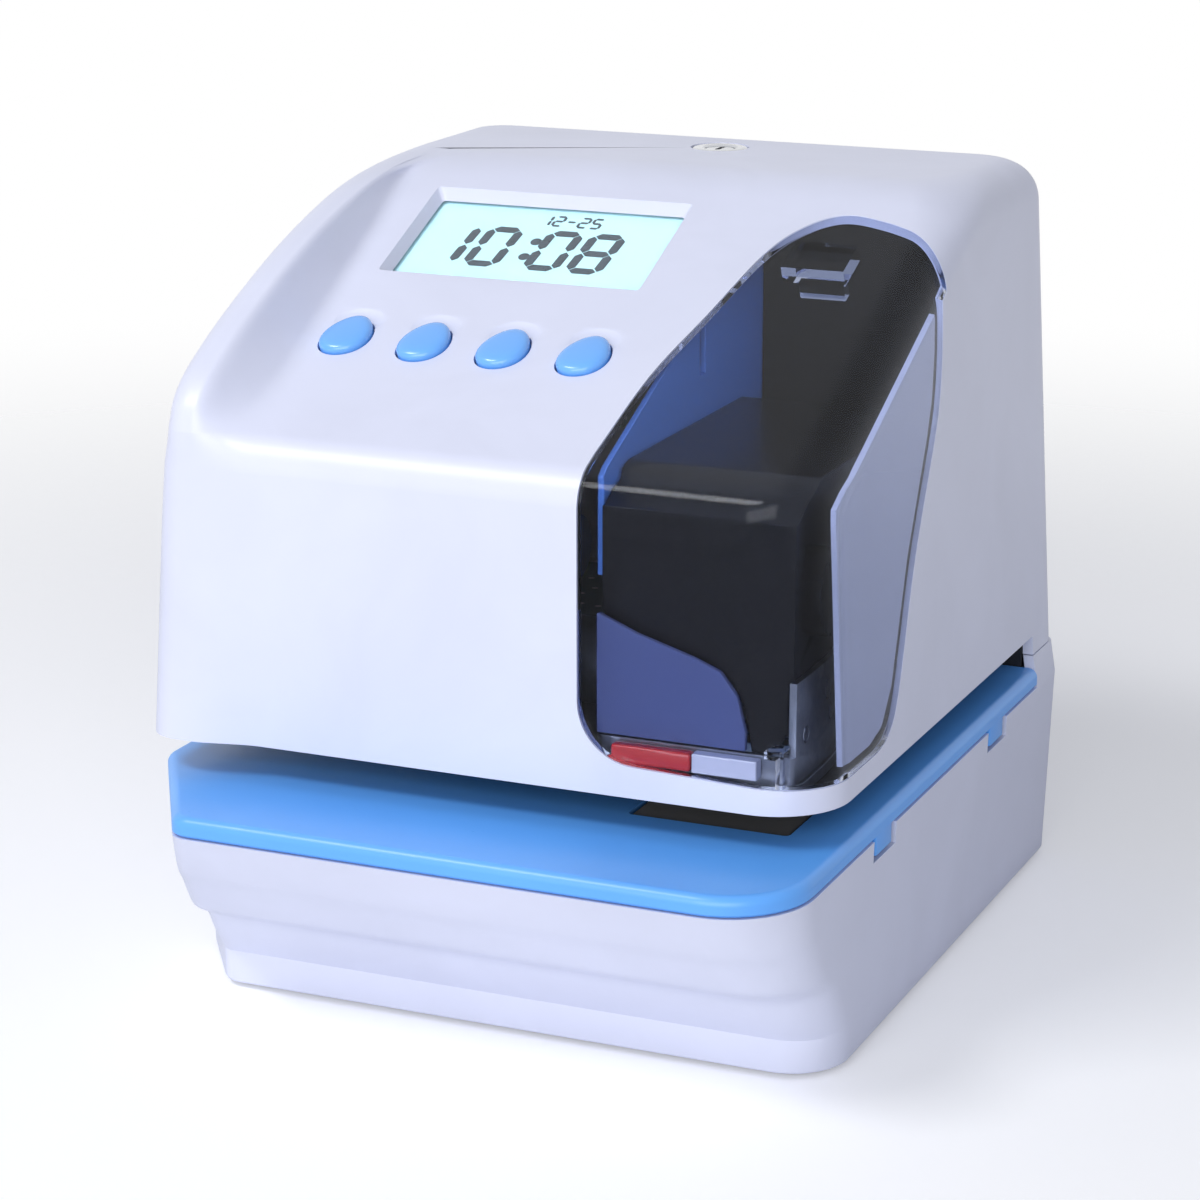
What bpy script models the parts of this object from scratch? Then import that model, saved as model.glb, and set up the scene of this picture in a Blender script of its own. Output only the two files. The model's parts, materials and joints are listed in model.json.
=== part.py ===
# Desk date and time stamp machine, as an assembly of separate pieces.
# Metres, +Z up, front towards -Y. X = 0 and Y = 0 are the centre, Z = 0 is the table.

import math

import bmesh
import bpy
from mathutils import Matrix, Vector

# Overall form
BODY_WIDTH = 0.155
BODY_DEPTH = 0.1884
BODY_HEIGHT = 0.168
WALL = 0.0024
SEAT_GAP = 0.0003
RUNNING_GAP = 0.0003
CUT_OVERRUN = 0.02
MERGE = 0.00001

# Base and deck
FOOT_STAND = 0.001
DECK_TOP = 0.0503
DECK_THICKNESS = 0.0042
DECK_EDGE_ROUND = 0.0021
BASE_SIDE_LEAN = 0.0015
BASE_FRONT_LEAN = 0.0328
BASE_REAR_LEAN = 0.001
BASE_BOTTOM_ROUND = 0.001
SKIRT_HEIGHT = 0.0076
BASE_CORNER_RADIUS = 0.018
SKIRT_CORNER_RADIUS = 0.013
BASE_REAR_RADIUS = 0.004
CORNER_CUT_LENGTH = 0.0372
CORNER_CUT_WIDTH = 0.0225
SKIRT_CUT_LENGTH = 0.020
SKIRT_CUT_WIDTH = 0.014
CORNER_CUT_ROUND = 0.005
COLUMN_DEPTH = 0.0182
COLUMN_STUB = 0.0032

# How the front of the base leans in below the deck: share of the height, share of the lean
BASE_LEAN_SHARES = (
    (0.0, 0.0), (0.09, 0.10), (0.20, 0.21), (0.333, 0.34), (0.441, 0.55), (0.548, 0.66),
    (0.656, 0.757), (0.737, 0.84), (0.817, 0.895), (0.92, 0.955), (1.0, 1.0))

# Rounded top edge of the deck: share of the round left below the top, share of it drawn in
DECK_EDGE_SHARES = ((1.0, 0.0), (0.62, 0.08), (0.29, 0.29), (0.08, 0.62), (0.0, 1.0))

# Head cover
PAPER_THROAT = 0.0077
HEAD_SIDE_SETBACK = 0.0015
HEAD_FRONT_SETBACK = 0.0244
HEAD_DRAFT_SHARE = 0.045
HEAD_CORNER_RADIUS = 0.016
HEAD_LEFT_RADIUS = 0.008
HEAD_REAR_RADIUS = 0.006
SHOULDER_RADIUS = 0.0095
FENDER_EDGE_RADIUS = 0.007
PANEL_START_SHARE = 0.582
TOP_DEPTH = 0.0576
PANEL_BEND_RADIUS = 0.009
PANEL_TOP_RADIUS = 0.040
BEND_STEPS = 7
CREST_STEPS = 4
FENDER_RIM_INSET = 0.014
FENDER_START_RISE = 0.002
FENDER_TOP_LENGTH = 0.007

# The raised left edge seen from the side: share of its length, share of its height
FENDER_SHARES = (
    (0.0, 0.0), (0.012, 0.10), (0.042, 0.195), (0.125, 0.335), (0.256, 0.505),
    (0.456, 0.718), (0.671, 0.880), (0.810, 0.950), (1.0, 1.0))

# Foot of the groove wall beside the panel: share of the panel's length, share of the head's half width
GROOVE_SHARES = (
    (0.0, 0.680), (0.11, 0.700), (0.24, 0.704), (0.42, 0.724), (0.60, 0.746),
    (0.78, 0.768), (0.92, 0.795), (0.97, 0.760), (1.03, 0.658), (1.12, 0.540))

# Levels of the head's rings, as shares of the slope and of the shoulder radius
SLOPE_LEVEL_SHARES = (0.04, 0.09, 0.15, 0.22, 0.30, 0.40, 0.50, 0.60, 0.70, 0.80)
ROLL_LEVEL_SHARES = (0.90, 0.72, 0.54, 0.36, 0.20, 0.09, 0.02)

# Window that wraps the right front corner
WINDOW_REACH = 0.0542
WINDOW_FLOOR_RISE = 0.0070
WINDOW_SIDE_FLOOR_RISE = 0.0048
WINDOW_CORNER_RADIUS = 0.0125
WINDOW_THICKNESS = 0.0020
WINDOW_TOP_SETBACK = 0.0126
WINDOW_SIDE_SETBACK = 0.0106
WINDOW_SIDE_DROP = 0.0099
WINDOW_LATCH_SIZE = (0.0140, 0.0100, 0.0075)
WINDOW_LATCH_INSETS = (0.0325, 0.0130)
WINDOW_HOOK_SIZE = (0.0040, 0.0016, 0.0075)
WINDOW_HOOK_INSET = 0.0115
WINDOW_HOOK_RISE = 0.0050
SIDE_LINER_THICKNESS = 0.0009
SIDE_LINER_SETBACK = 0.0030
SIDE_LINER_MARGIN = 0.0020

# The window's edge over the slope: share of its width, share of its length
WINDOW_TOP_SHARES = (
    (0.0, 0.0), (0.031, 0.30), (0.110, 0.55), (0.193, 0.81), (0.29, 0.935), (0.43, 1.0), (0.61, 0.985),
    (0.80, 0.938), (1.0, 0.88))

# The window's edge on the side wall: share of its depth, share of its height
WINDOW_SIDE_SHARES = (
    (0.42, 0.0), (0.515, 0.022), (0.595, 0.103), (0.742, 0.40), (0.916, 0.665), (0.963, 0.757),
    (0.99, 0.87), (1.0, 1.0))

# Display and keys, laid out in the sloping panel
DISPLAY_LEFT_MARGIN = 0.0272
DISPLAY_RIGHT_MARGIN = 0.0128
DISPLAY_PLACE_SHARE = 0.7314
DISPLAY_LENGTH = 0.0338
DISPLAY_WALL_SLOPE = (0.0015, 0.0020)
DISPLAY_GLASS_BORDER = (0.0022, 0.0016)
DISPLAY_GLASS_THICKNESS = 0.0022
DISPLAY_FRAME_DEPTH = 0.0045
DISPLAY_FRAME_RIM = 0.0022
KEY_COUNT = 4
KEY_ROW_SHARE = 0.360
KEY_LEFT_MARGIN = 0.0043
KEY_RIGHT_MARGIN = 0.0023
KEY_WIDTH_SHARE = 0.563
KEY_LENGTH = 0.0130
KEY_PROUD = 0.0021
KEY_CLEARANCE = 0.0004
KEY_FLANGE = 0.0012
KEY_FLANGE_THICKNESS = 0.0012
KEY_STEM_RADIUS = 0.0025
KEY_TRAVEL = 0.0009
KEY_POINT_SHARE = 0.16
KEY_STEPS = 20
KEYPAD_BOARD_MARGIN = 0.01055
KEYPAD_BOARD_LENGTH = 0.0180
KEYPAD_BOARD_THICKNESS = 0.0016
KEYPAD_DEPTH = 0.0094
SWITCH_SIZE = 0.0060
POST_RADIUS = 0.0020

# Crown of a key: share of its height, share of its width
KEY_DOME_SHARES = ((0.35, 1.0), (0.72, 0.90), (0.93, 0.68), (1.0, 0.36))

# Lock on the top of the cover
LOCK_X = -0.0008
LOCK_REAR_INSET = 0.0236
LOCK_FLANGE_RADIUS = 0.0065
LOCK_BARREL_RADIUS = 0.0052
LOCK_PLUG_RADIUS = 0.0034
LOCK_SINK = 0.0008
LOCK_BARREL_LENGTH = 0.0160
LOCK_CAM_LENGTH = 0.0150
LOCK_CAM_WIDTH = 0.0076
LOCK_CAM_THICKNESS = 0.0017
LOCK_CAM_ROUND_SHARE = 0.6
KEYWAY = (0.0046, 0.0012, 0.0060)
CATCH_REACH = 0.0090
CATCH_POST = 0.0035
CATCH_WIDTH = 0.0130
CATCH_LIP = 0.0016

# Steel chassis
PLATE = 0.0020
CHASSIS_LEFT_INSET = 0.0275
CHASSIS_RIGHT_INSET = 0.0095
CHASSIS_FRONT_INSET = 0.0148
CHASSIS_BASE_HEIGHT = 0.0080
UPRIGHT_INSET = 0.0147
UPRIGHT_WINDOW_SHARES = (0.30, 0.62)
UPRIGHT_WINDOW_PLACE_SHARES = (0.12, 0.56)
UPRIGHT_WINDOW_WIDTH_SHARE = 0.32
ARM_THICKNESS = 0.0025
ARM_FRONT_OVERHANG = 0.0060
UNDERPLATE_THICKNESS = 0.0016
BACKPLATE_THICKNESS = 0.0012
BOSS_RADIUS = 0.0045
SCREW_RADIUS = 0.0015
SCREW_HEAD_RADIUS = 0.0032
SCREW_HEAD_TIP_SHARE = 0.7
SCREW_HEAD_HEIGHT = 0.0018
SCREW_LENGTH = 0.0060
SCREW_CLEARANCE = 0.0004
SCREW_INSET = 0.0080
SCREW_RIGHT_INSET = 0.0120

# Print place in the deck
PLATEN_RIGHT_INSET = 0.0305
PLATEN_FRONT_INSET = 0.0228
PLATEN_WIDTH = 0.0340
PLATEN_DEPTH = 0.0160
PLATEN_PAD_HEIGHT = 0.0058
PLATEN_STEM_SHARES = (0.62, 0.55)
APERTURE_MARGIN = 0.0018

# Print unit in the head
UNIT_RIGHT_INSET = 0.0100
UNIT_WIDTH = 0.0420
UNIT_FRONT_INSET = 0.0076
UNIT_DEPTH = 0.0307
UNIT_PLATE = 0.0015
UNIT_RISE = 0.0260
UNIT_FRONT_RISE = 0.0110
RAIL_RADIUS = 0.0015
RAIL_FRONT_INSET = 0.0077
RAIL_REAR_INSET = 0.0065
RAIL_RISE = 0.0140
SCREW_AXIS_INSET = 0.0090
SCREW_AXIS_RISE = 0.0195
DRIVE_SCREW_RADIUS = 0.0020
MOTOR_RADIUS = 0.0090
MOTOR_LENGTH = 0.0180
MOTOR_SHAFT_DEPTH = 0.0030
CARRIAGE_WIDTH = 0.0120
CARRIAGE_RISE = 0.0090
CARRIAGE_HEIGHT = 0.0155
CARRIAGE_END_WALL = 0.0030
CARRIAGE_REAR_WALL = 0.0035
CARRIAGE_WALL_GAP = 0.0030
PRINT_NOSE = (0.0070, 0.0075)
FIN_COUNT = 3
RIBBON_THICKNESS = 0.0004
RIBBON_WIDTH = 0.0080
RIBBON_SIDE_GAP = 0.0009
RIBBON_ENTRY = 0.0025

# Ribbon cassette, shield and bay lining behind the window
CASSETTE_SIDE_GAP = 0.0006
CASSETTE_WIDTH = 0.0407
CASSETTE_FRONT_INSET = 0.0095
CASSETTE_BACK_INSET = 0.0060
CASSETTE_CHAMFER_DEPTH = 0.0120
CASSETTE_CHAMFER_DROP = 0.0060
CASSETTE_NOSE_DEPTH = 0.0023
CASSETTE_NOSE_RISE = 0.0085
# Lower edge of the cassette's front: share of its width, share of its height above the nose
CASSETTE_EDGE_SHARES = (
    (0.0, 0.50), (0.20, 0.44), (0.50, 0.375), (0.64, 0.335), (0.73, 0.25), (0.775, 0.12), (0.80, 0.0), (0.88, 0.0))
KNOB_RADIUS = 0.0090
KNOB_THICKNESS = 0.0022
KNOB_PIN_RADIUS = 0.0020
KNOB_PIN_LENGTH = 0.0060
KNOB_FRONT_INSET = 0.0163
KNOB_RISE_SHARE = 0.39
KNOB_GRIPS = 18
KNOB_GRIP_RADIUS = 0.0009
SHIELD_THICKNESS = 0.0013
SHIELD_EDGE_POINTS = 6
LINER_THICKNESS = 0.0014
LINER_SIDE_GAP = 0.0007
LINER_FRONT_INSET = 0.0118
LINER_BACK_REACH = 0.0070
LINER_LEDGE_RISE = 0.0145
LINER_FOOT_SETBACK = 0.0045
LINER_ROOF_GAP = 0.0045
LINER_SLOT_WIDTH = 0.0030
LINER_SLOT_LENGTH = 0.0120
LINER_SLOT_DROP = 0.0020
LINER_SLOT_SETBACK = 0.0290
BACKWALL_THICKNESS = 0.0014
GAUGE_DEPTH = 0.0030
GAUGE_HEIGHT = 0.0040
GAUGE_RISE = 0.0066
GAUGE_LEFT_INSET = 0.0045
GAUGE_LENGTH = 0.0175
GUIDE_LENGTH = 0.0137

# Paper stop and paper lever in the throat
STOP_WIDTH = 0.0440
STOP_DEPTH = 0.0040
STOP_HEIGHT = 0.0066
STOP_BAR_SHARE = 0.6
STOP_SETBACK = 0.0080
STOP_TRAVEL = 0.0400
STOP_TONGUE = 0.0058
STOP_SLOT_MARGIN = 0.0004
STOP_KEEPER = (0.0140, 0.0080, 0.0018)
STOP_PAD_COUNT = 2
LEVER_LEFT_INSET = 0.0145
LEVER_THICKNESS = 0.0030
LEVER_SETBACK = 0.0200
LEVER_PIVOT_RISE = 0.0095
LEVER_REACH = 0.0150
LEVER_TAIL = 0.0055
LEVER_PIN_RADIUS = 0.0012
LEVER_HUB_RADIUS = 0.0030
LEVER_FINGER_SHARE = 0.55
LEVER_SLOT_REACH = (0.0050, 0.0130)
BRACKET_LENGTH = 0.0130

# Electrical pieces
BOARD_LEFT_INSET = 0.0135
BOARD_MOTOR_GAP = 0.0012
BOARD_FRONT_INSET = 0.0298
BOARD_BACK_INSET = 0.0160
BOARD_THICKNESS = 0.0016
STANDOFF_RADIUS = 0.0025
STANDOFF_HEIGHT = 0.0040
STANDOFF_INSET = 0.0060
CHIP_COUNT = 3
CHIP_SIZE = (0.0140, 0.0140, 0.0018)
CONNECTOR_SIZE = (0.0200, 0.0060, 0.0090)
BATTERY_RADIUS = 0.0072
BATTERY_LENGTH = 0.0300
BATTERY_COUNT = 3
BATTERY_PITCH_SHARE = 1.9
POWER_SIZE = (0.0440, 0.0500, 0.0260)
POWER_INSETS = (0.0380, 0.0595)
CORE_SHARE = 0.56
INLET_WIDTH = 0.0280
INLET_HEIGHT = 0.0200
INLET_LEFT_INSET = 0.0355
INLET_RISE = 0.0050
INLET_LIP = 0.0015
INLET_POCKET_DEPTH = 0.0080
INLET_PIN = 0.0018

# Pins of the inlet: share of its width, share of its height
INLET_PIN_SHARES = ((0.28, 0.36), (0.5, 0.66), (0.72, 0.36))

# Feet and snap tabs
FOOT_RADIUS = 0.0070
FOOT_HEIGHT = 0.0017
FOOT_FRONT_INSET = 0.0502
FOOT_REAR_INSET = 0.0182
FOOT_SIDE_INSET = 0.0215
TAB_FRONT_INSET = 0.0318
TAB_REAR_INSET = 0.0360
TAB_LENGTH = 0.0100
TAB_DROP = 0.0040
TAB_THICKNESS = 0.0017
TAB_NOTCH_MARGIN = 0.0020

# Planes of the body that follow from the sizes above
HALF = BODY_WIDTH / 2
FRONT = -BODY_DEPTH / 2
REAR = BODY_DEPTH / 2
HEAD_HALF = HALF - HEAD_SIDE_SETBACK
HEAD_FRONT = FRONT + HEAD_FRONT_SETBACK
HEAD_BOTTOM = DECK_TOP + PAPER_THROAT
DECK_BOTTOM = DECK_TOP - DECK_THICKNESS
BASE_TOP = DECK_BOTTOM - SEAT_GAP
COLUMN_FRONT = REAR - COLUMN_DEPTH
COLUMN_PARTING = DECK_TOP + COLUMN_STUB
FLOOR_TOP = FOOT_STAND + WALL

# Sloping panel, fender and window
PANEL_START_HEIGHT = HEAD_BOTTOM + PANEL_START_SHARE * (BODY_HEIGHT - HEAD_BOTTOM)
PANEL_FRONT = HEAD_FRONT + HEAD_DRAFT_SHARE * (PANEL_START_HEIGHT - HEAD_BOTTOM)
PANEL_BACK = REAR - TOP_DEPTH
PANEL_LENGTH = PANEL_BACK - PANEL_FRONT
PANEL_SLOPE = math.atan2(BODY_HEIGHT - PANEL_START_HEIGHT, PANEL_LENGTH)
FENDER_START_HEIGHT = PANEL_START_HEIGHT + FENDER_START_RISE
FENDER_FRONT = HEAD_FRONT + HEAD_DRAFT_SHARE * (FENDER_START_HEIGHT - HEAD_BOTTOM)
FENDER_LENGTH = PANEL_BACK + FENDER_TOP_LENGTH - FENDER_FRONT
FENDER_RIM = -(HEAD_HALF - FENDER_RIM_INSET)
WINDOW_LEFT = HALF - WINDOW_REACH
WINDOW_FLOOR = HEAD_BOTTOM + WINDOW_FLOOR_RISE
WINDOW_SIDE_FLOOR = HEAD_BOTTOM + WINDOW_SIDE_FLOOR_RISE
WINDOW_TOP_BACK = PANEL_BACK - WINDOW_TOP_SETBACK
WINDOW_SIDE_BACK = WINDOW_TOP_BACK - WINDOW_SIDE_SETBACK
WINDOW_LATCH_PLACE = (HALF - WINDOW_LATCH_INSETS[0], WINDOW_TOP_BACK - WINDOW_LATCH_INSETS[1])
WINDOW_HOOK_PLACE = (HALF - WINDOW_HOOK_INSET, HEAD_BOTTOM + WINDOW_HOOK_RISE)

# Steel chassis
UNDERPLATE_BOTTOM = HEAD_BOTTOM + SEAT_GAP
UNDERPLATE_TOP = UNDERPLATE_BOTTOM + UNDERPLATE_THICKNESS
ARM_BOTTOM = UNDERPLATE_TOP + SEAT_GAP
ARM_TOP = ARM_BOTTOM + ARM_THICKNESS
ARM_SEAT = ARM_TOP + SEAT_GAP
CHASSIS_LEFT = -HALF + CHASSIS_LEFT_INSET
CHASSIS_RIGHT = HALF - CHASSIS_RIGHT_INSET
CHASSIS_FRONT = HEAD_FRONT + CHASSIS_FRONT_INSET
CHASSIS_BASE_TOP = CHASSIS_BASE_HEIGHT + PLATE
PLATE_SEAT = CHASSIS_BASE_TOP + SEAT_GAP
UPRIGHT_Y = REAR - UPRIGHT_INSET
CHASSIS_BACK = UPRIGHT_Y + 2 * PLATE

# Print place and print unit
PLATEN_CENTRE_X = HALF - PLATEN_RIGHT_INSET
PLATEN_CENTRE_Y = HEAD_FRONT + PLATEN_FRONT_INSET
UNIT_RIGHT = HALF - UNIT_RIGHT_INSET
UNIT_LEFT = UNIT_RIGHT - UNIT_WIDTH
UNIT_FRONT = HEAD_FRONT + UNIT_FRONT_INSET
UNIT_BACK = UNIT_FRONT + UNIT_DEPTH
UNIT_TOP = HEAD_BOTTOM + UNIT_RISE
UNIT_FRONT_TOP = HEAD_BOTTOM + UNIT_FRONT_RISE
RAIL_FRONT_Y = UNIT_FRONT + RAIL_FRONT_INSET
RAIL_REAR_Y = UNIT_BACK - RAIL_REAR_INSET
RAIL_HEIGHT = HEAD_BOTTOM + RAIL_RISE
SCREW_AXIS_Y = UNIT_BACK - SCREW_AXIS_INSET
SCREW_AXIS_Z = HEAD_BOTTOM + SCREW_AXIS_RISE
CARRIAGE_BOTTOM = HEAD_BOTTOM + CARRIAGE_RISE
CARRIAGE_TOP = CARRIAGE_BOTTOM + CARRIAGE_HEIGHT
CARRIAGE_FRONT = RAIL_FRONT_Y - CARRIAGE_END_WALL
CARRIAGE_BACK = RAIL_REAR_Y + CARRIAGE_REAR_WALL
RIBBON_END = UNIT_TOP + RIBBON_ENTRY

# Ribbon bay
LINER_LEFT = WINDOW_LEFT + LINER_SIDE_GAP
LINER_FRONT = HEAD_FRONT + LINER_FRONT_INSET
LINER_BACK = WINDOW_TOP_BACK + LINER_BACK_REACH
LINER_LEDGE = SCREW_AXIS_Z + MOTOR_RADIUS + LINER_LEDGE_RISE
LINER_FOOT_FRONT = UNIT_BACK + LINER_FOOT_SETBACK
LINER_SLOT_Y = WINDOW_TOP_BACK - LINER_SLOT_SETBACK
CASSETTE_LEFT = LINER_LEFT + LINER_THICKNESS + CASSETTE_SIDE_GAP
CASSETTE_RIGHT = CASSETTE_LEFT + CASSETTE_WIDTH
CASSETTE_FRONT = HEAD_FRONT + CASSETTE_FRONT_INSET
CASSETTE_BACK = WINDOW_TOP_BACK - CASSETTE_BACK_INSET
CASSETTE_TOP = PANEL_START_HEIGHT
CASSETTE_NOSE_BOTTOM = HEAD_BOTTOM + CASSETTE_NOSE_RISE
KNOB_Y = CASSETTE_FRONT + KNOB_FRONT_INSET
KNOB_Z = UNIT_TOP + KNOB_RISE_SHARE * (CASSETTE_TOP - UNIT_TOP)
GAUGE_LEFT = UNIT_LEFT + GAUGE_LEFT_INSET
GAUGE_SPLIT = GAUGE_LEFT + GAUGE_LENGTH
GAUGE_RIGHT = GAUGE_SPLIT + GUIDE_LENGTH
GAUGE_BOTTOM = HEAD_BOTTOM + GAUGE_RISE

# Display and keys
DISPLAY_LEFT = -HALF + DISPLAY_LEFT_MARGIN
DISPLAY_RIGHT = LINER_LEFT - DISPLAY_RIGHT_MARGIN
DISPLAY_OPENING = (DISPLAY_RIGHT - DISPLAY_LEFT, DISPLAY_LENGTH)
DISPLAY_SIGHT = tuple(size - 2 * slope for size, slope in zip(DISPLAY_OPENING, DISPLAY_WALL_SLOPE))
DISPLAY_CENTRE_X = (DISPLAY_LEFT + DISPLAY_RIGHT) / 2
DISPLAY_CENTRE_Y = PANEL_FRONT + DISPLAY_PLACE_SHARE * PANEL_LENGTH
KEY_FIRST_X = DISPLAY_LEFT + KEY_LEFT_MARGIN
KEY_PITCH = (DISPLAY_RIGHT - KEY_RIGHT_MARGIN - KEY_FIRST_X) / (KEY_COUNT - 1)
KEY_WIDTH = KEY_WIDTH_SHARE * KEY_PITCH
KEY_ROW_Y = PANEL_FRONT + KEY_ROW_SHARE * PANEL_LENGTH
KEY_ROW_LENGTH = KEY_PITCH * (KEY_COUNT - 1)
KEYPAD_BOARD = (KEY_ROW_LENGTH + 2 * KEYPAD_BOARD_MARGIN, KEYPAD_BOARD_LENGTH, KEYPAD_BOARD_THICKNESS)

# Lock, stop, lever and electrical pieces
LOCK_Y = REAR - LOCK_REAR_INSET
STOP_REST_Y = COLUMN_FRONT - STOP_SETBACK
LEVER_X = UNIT_LEFT + LEVER_LEFT_INSET
LEVER_PIVOT_Y = COLUMN_FRONT - LEVER_SETBACK
LEVER_PIVOT_Z = HEAD_BOTTOM + LEVER_PIVOT_RISE
BOARD_LEFT = -HALF + BOARD_LEFT_INSET
BOARD_RIGHT = UNIT_LEFT - SEAT_GAP - MOTOR_LENGTH - BOARD_MOTOR_GAP
BOARD_FRONT = HEAD_FRONT + BOARD_FRONT_INSET
BOARD_BACK = COLUMN_FRONT - BOARD_BACK_INSET
POWER_CENTRE = (CHASSIS_LEFT + POWER_INSETS[0], UPRIGHT_Y - POWER_INSETS[1])
INLET_CENTRE_X = -HALF + INLET_LEFT_INSET
INLET_BOTTOM = CHASSIS_BASE_TOP + INLET_RISE
FOOT_X = HALF - FOOT_SIDE_INSET
FOOT_FRONT_Y = FRONT + FOOT_FRONT_INSET
FOOT_REAR_Y = REAR - FOOT_REAR_INSET
TAB_FRONT = HEAD_FRONT + TAB_FRONT_INSET
TAB_SECOND_Y = COLUMN_FRONT - TAB_REAR_INSET

# Colour, roughness and metallic value of each material
FINISHES = {
    "white_housing": ((0.78, 0.80, 0.88), 0.38, 0.0),
    "blue_plastic": ((0.13, 0.37, 0.90), 0.35, 0.0),
    "pale_blue_plastic": ((0.26, 0.45, 0.88), 0.40, 0.0),
    "smoke_clear": ((0.45, 0.47, 0.55), 0.08, 0.0),
    "black_plastic": ((0.02, 0.02, 0.025), 0.30, 0.0),
    "pale_grey_plastic": ((0.50, 0.51, 0.60), 0.45, 0.0),
    "red_plastic": ((0.60, 0.06, 0.09), 0.35, 0.0),
    "display_glass": ((0.42, 0.68, 0.74), 0.15, 0.0),
    "zinc_steel": ((0.62, 0.63, 0.65), 0.35, 1.0),
    "dark_steel": ((0.05, 0.05, 0.06), 0.50, 0.6),
    "bright_steel": ((0.70, 0.70, 0.72), 0.20, 1.0),
    "brass": ((0.72, 0.55, 0.28), 0.30, 1.0),
    "rubber": ((0.03, 0.03, 0.03), 0.85, 0.0),
    "circuit_board": ((0.03, 0.20, 0.09), 0.50, 0.0),
    "inked_fabric": ((0.03, 0.02, 0.06), 0.90, 0.0),
}


# Scene and materials

def clear_scene():
    for item in list(bpy.data.objects):
        bpy.data.objects.remove(item, do_unlink=True)


def new_collection(name):
    group = bpy.data.collections.new(name)
    bpy.context.scene.collection.children.link(group)
    return group


def finish(name):
    """One Principled material for each finish, made when it is first used."""
    material = bpy.data.materials.get(name)
    if material is None:
        colour, roughness, metallic = FINISHES[name]
        material = bpy.data.materials.new(name)
        material.use_nodes = True
        shader = material.node_tree.nodes["Principled BSDF"]
        shader.inputs["Base Color"].default_value = (*colour, 1.0)
        shader.inputs["Roughness"].default_value = roughness
        shader.inputs["Metallic"].default_value = metallic
        material.diffuse_color = (*colour, 1.0)
    return material


clear_scene()
PARTS = new_collection("time_stamp_machine")
CUTTERS = new_collection("cutters")


# Making solids

def add_object(name, shape, material=None):
    """Links a mesh as a visible part, or as a hidden cutter when it has no material."""
    if isinstance(shape, bmesh.types.BMesh):
        mesh = bpy.data.meshes.new(name)
        shape.to_mesh(mesh)
        shape.free()
    else:
        mesh = shape
    item = bpy.data.objects.new(name, mesh)
    if material is None:
        CUTTERS.objects.link(item)
        item.hide_render = True
        item.display_type = "WIRE"
    else:
        PARTS.objects.link(item)
        mesh.materials.clear()
        mesh.materials.append(finish(material))
        mesh.shade_smooth()
        mesh.set_sharp_from_angle(angle=math.radians(30.0))
    return item


def box(name, low, high, material=None, frame=None):
    """A block between two corners, in the world or in a local frame."""
    shape = bmesh.new()
    bmesh.ops.create_cube(shape, size=1.0)
    size = [b - a for a, b in zip(low, high)]
    middle = [(a + b) / 2 for a, b in zip(low, high)]
    bmesh.ops.transform(shape, matrix=Matrix.Translation(middle) @ Matrix.Diagonal((*size, 1.0)), verts=shape.verts)
    item = add_object(name, shape, material)
    if frame is not None:
        item.matrix_world = frame
    return item


AXIS_TURN = {
    "X": Matrix.Rotation(math.radians(90.0), 4, "Y"),
    "Y": Matrix.Rotation(math.radians(-90.0), 4, "X"),
    "Z": Matrix.Identity(4),
}


def cylinder(name, start, axis, radius, length, material=None, sides=24, tip_radius=None, frame=None):
    """A round bar from its start point along +X, +Y or +Z."""
    shape = bmesh.new()
    tip = radius if tip_radius is None else tip_radius
    bmesh.ops.create_cone(shape, cap_ends=True, segments=sides, radius1=radius, radius2=tip, depth=length)
    bmesh.ops.translate(shape, vec=(0, 0, length / 2), verts=shape.verts)
    turn = Matrix.Translation(start) @ AXIS_TURN[axis]
    bmesh.ops.transform(shape, matrix=turn, verts=shape.verts)
    item = add_object(name, shape, material)
    if frame is not None:
        item.matrix_world = frame
    return item


PLANE_TURN = {
    "XY": Matrix.Identity(4),
    "YZ": Matrix(((0, 0, 1, 0), (1, 0, 0, 0), (0, 1, 0, 0), (0, 0, 0, 1))),
    "XZ": Matrix(((1, 0, 0, 0), (0, 0, -1, 0), (0, 1, 0, 0), (0, 0, 0, 1))),
}


def prism(name, outline, plane, start, end, material=None, frame=None):
    """A flat outline in a plane, thickened between two values of the third axis."""
    curve = bpy.data.curves.new(name + "_outline", "CURVE")
    curve.dimensions = "2D"
    curve.fill_mode = "BOTH"
    curve.extrude = abs(end - start) / 2
    spline = curve.splines.new("POLY")
    spline.points.add(len(outline) - 1)
    for point, (a, b) in zip(spline.points, outline):
        point.co = (a, b, 0, 1)
    spline.use_cyclic_u = True
    guide = bpy.data.objects.new(name + "_outline", curve)
    CUTTERS.objects.link(guide)
    middle = (start + end) / 2
    offset = {"XY": (0, 0, middle), "YZ": (middle, 0, 0), "XZ": (0, middle, 0)}[plane]
    guide.matrix_world = Matrix.Translation(offset) @ PLANE_TURN[plane]
    bpy.context.view_layer.update()
    mesh = bpy.data.meshes.new_from_object(guide.evaluated_get(bpy.context.evaluated_depsgraph_get()))
    mesh.transform(guide.matrix_world)
    bpy.data.objects.remove(guide, do_unlink=True)
    shape = bmesh.new()
    shape.from_mesh(mesh)
    bmesh.ops.remove_doubles(shape, verts=shape.verts, dist=MERGE)
    bmesh.ops.recalc_face_normals(shape, faces=shape.faces)
    bpy.data.meshes.remove(mesh)
    item = add_object(name, shape, material)
    if frame is not None:
        item.matrix_world = frame
    return item


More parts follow.
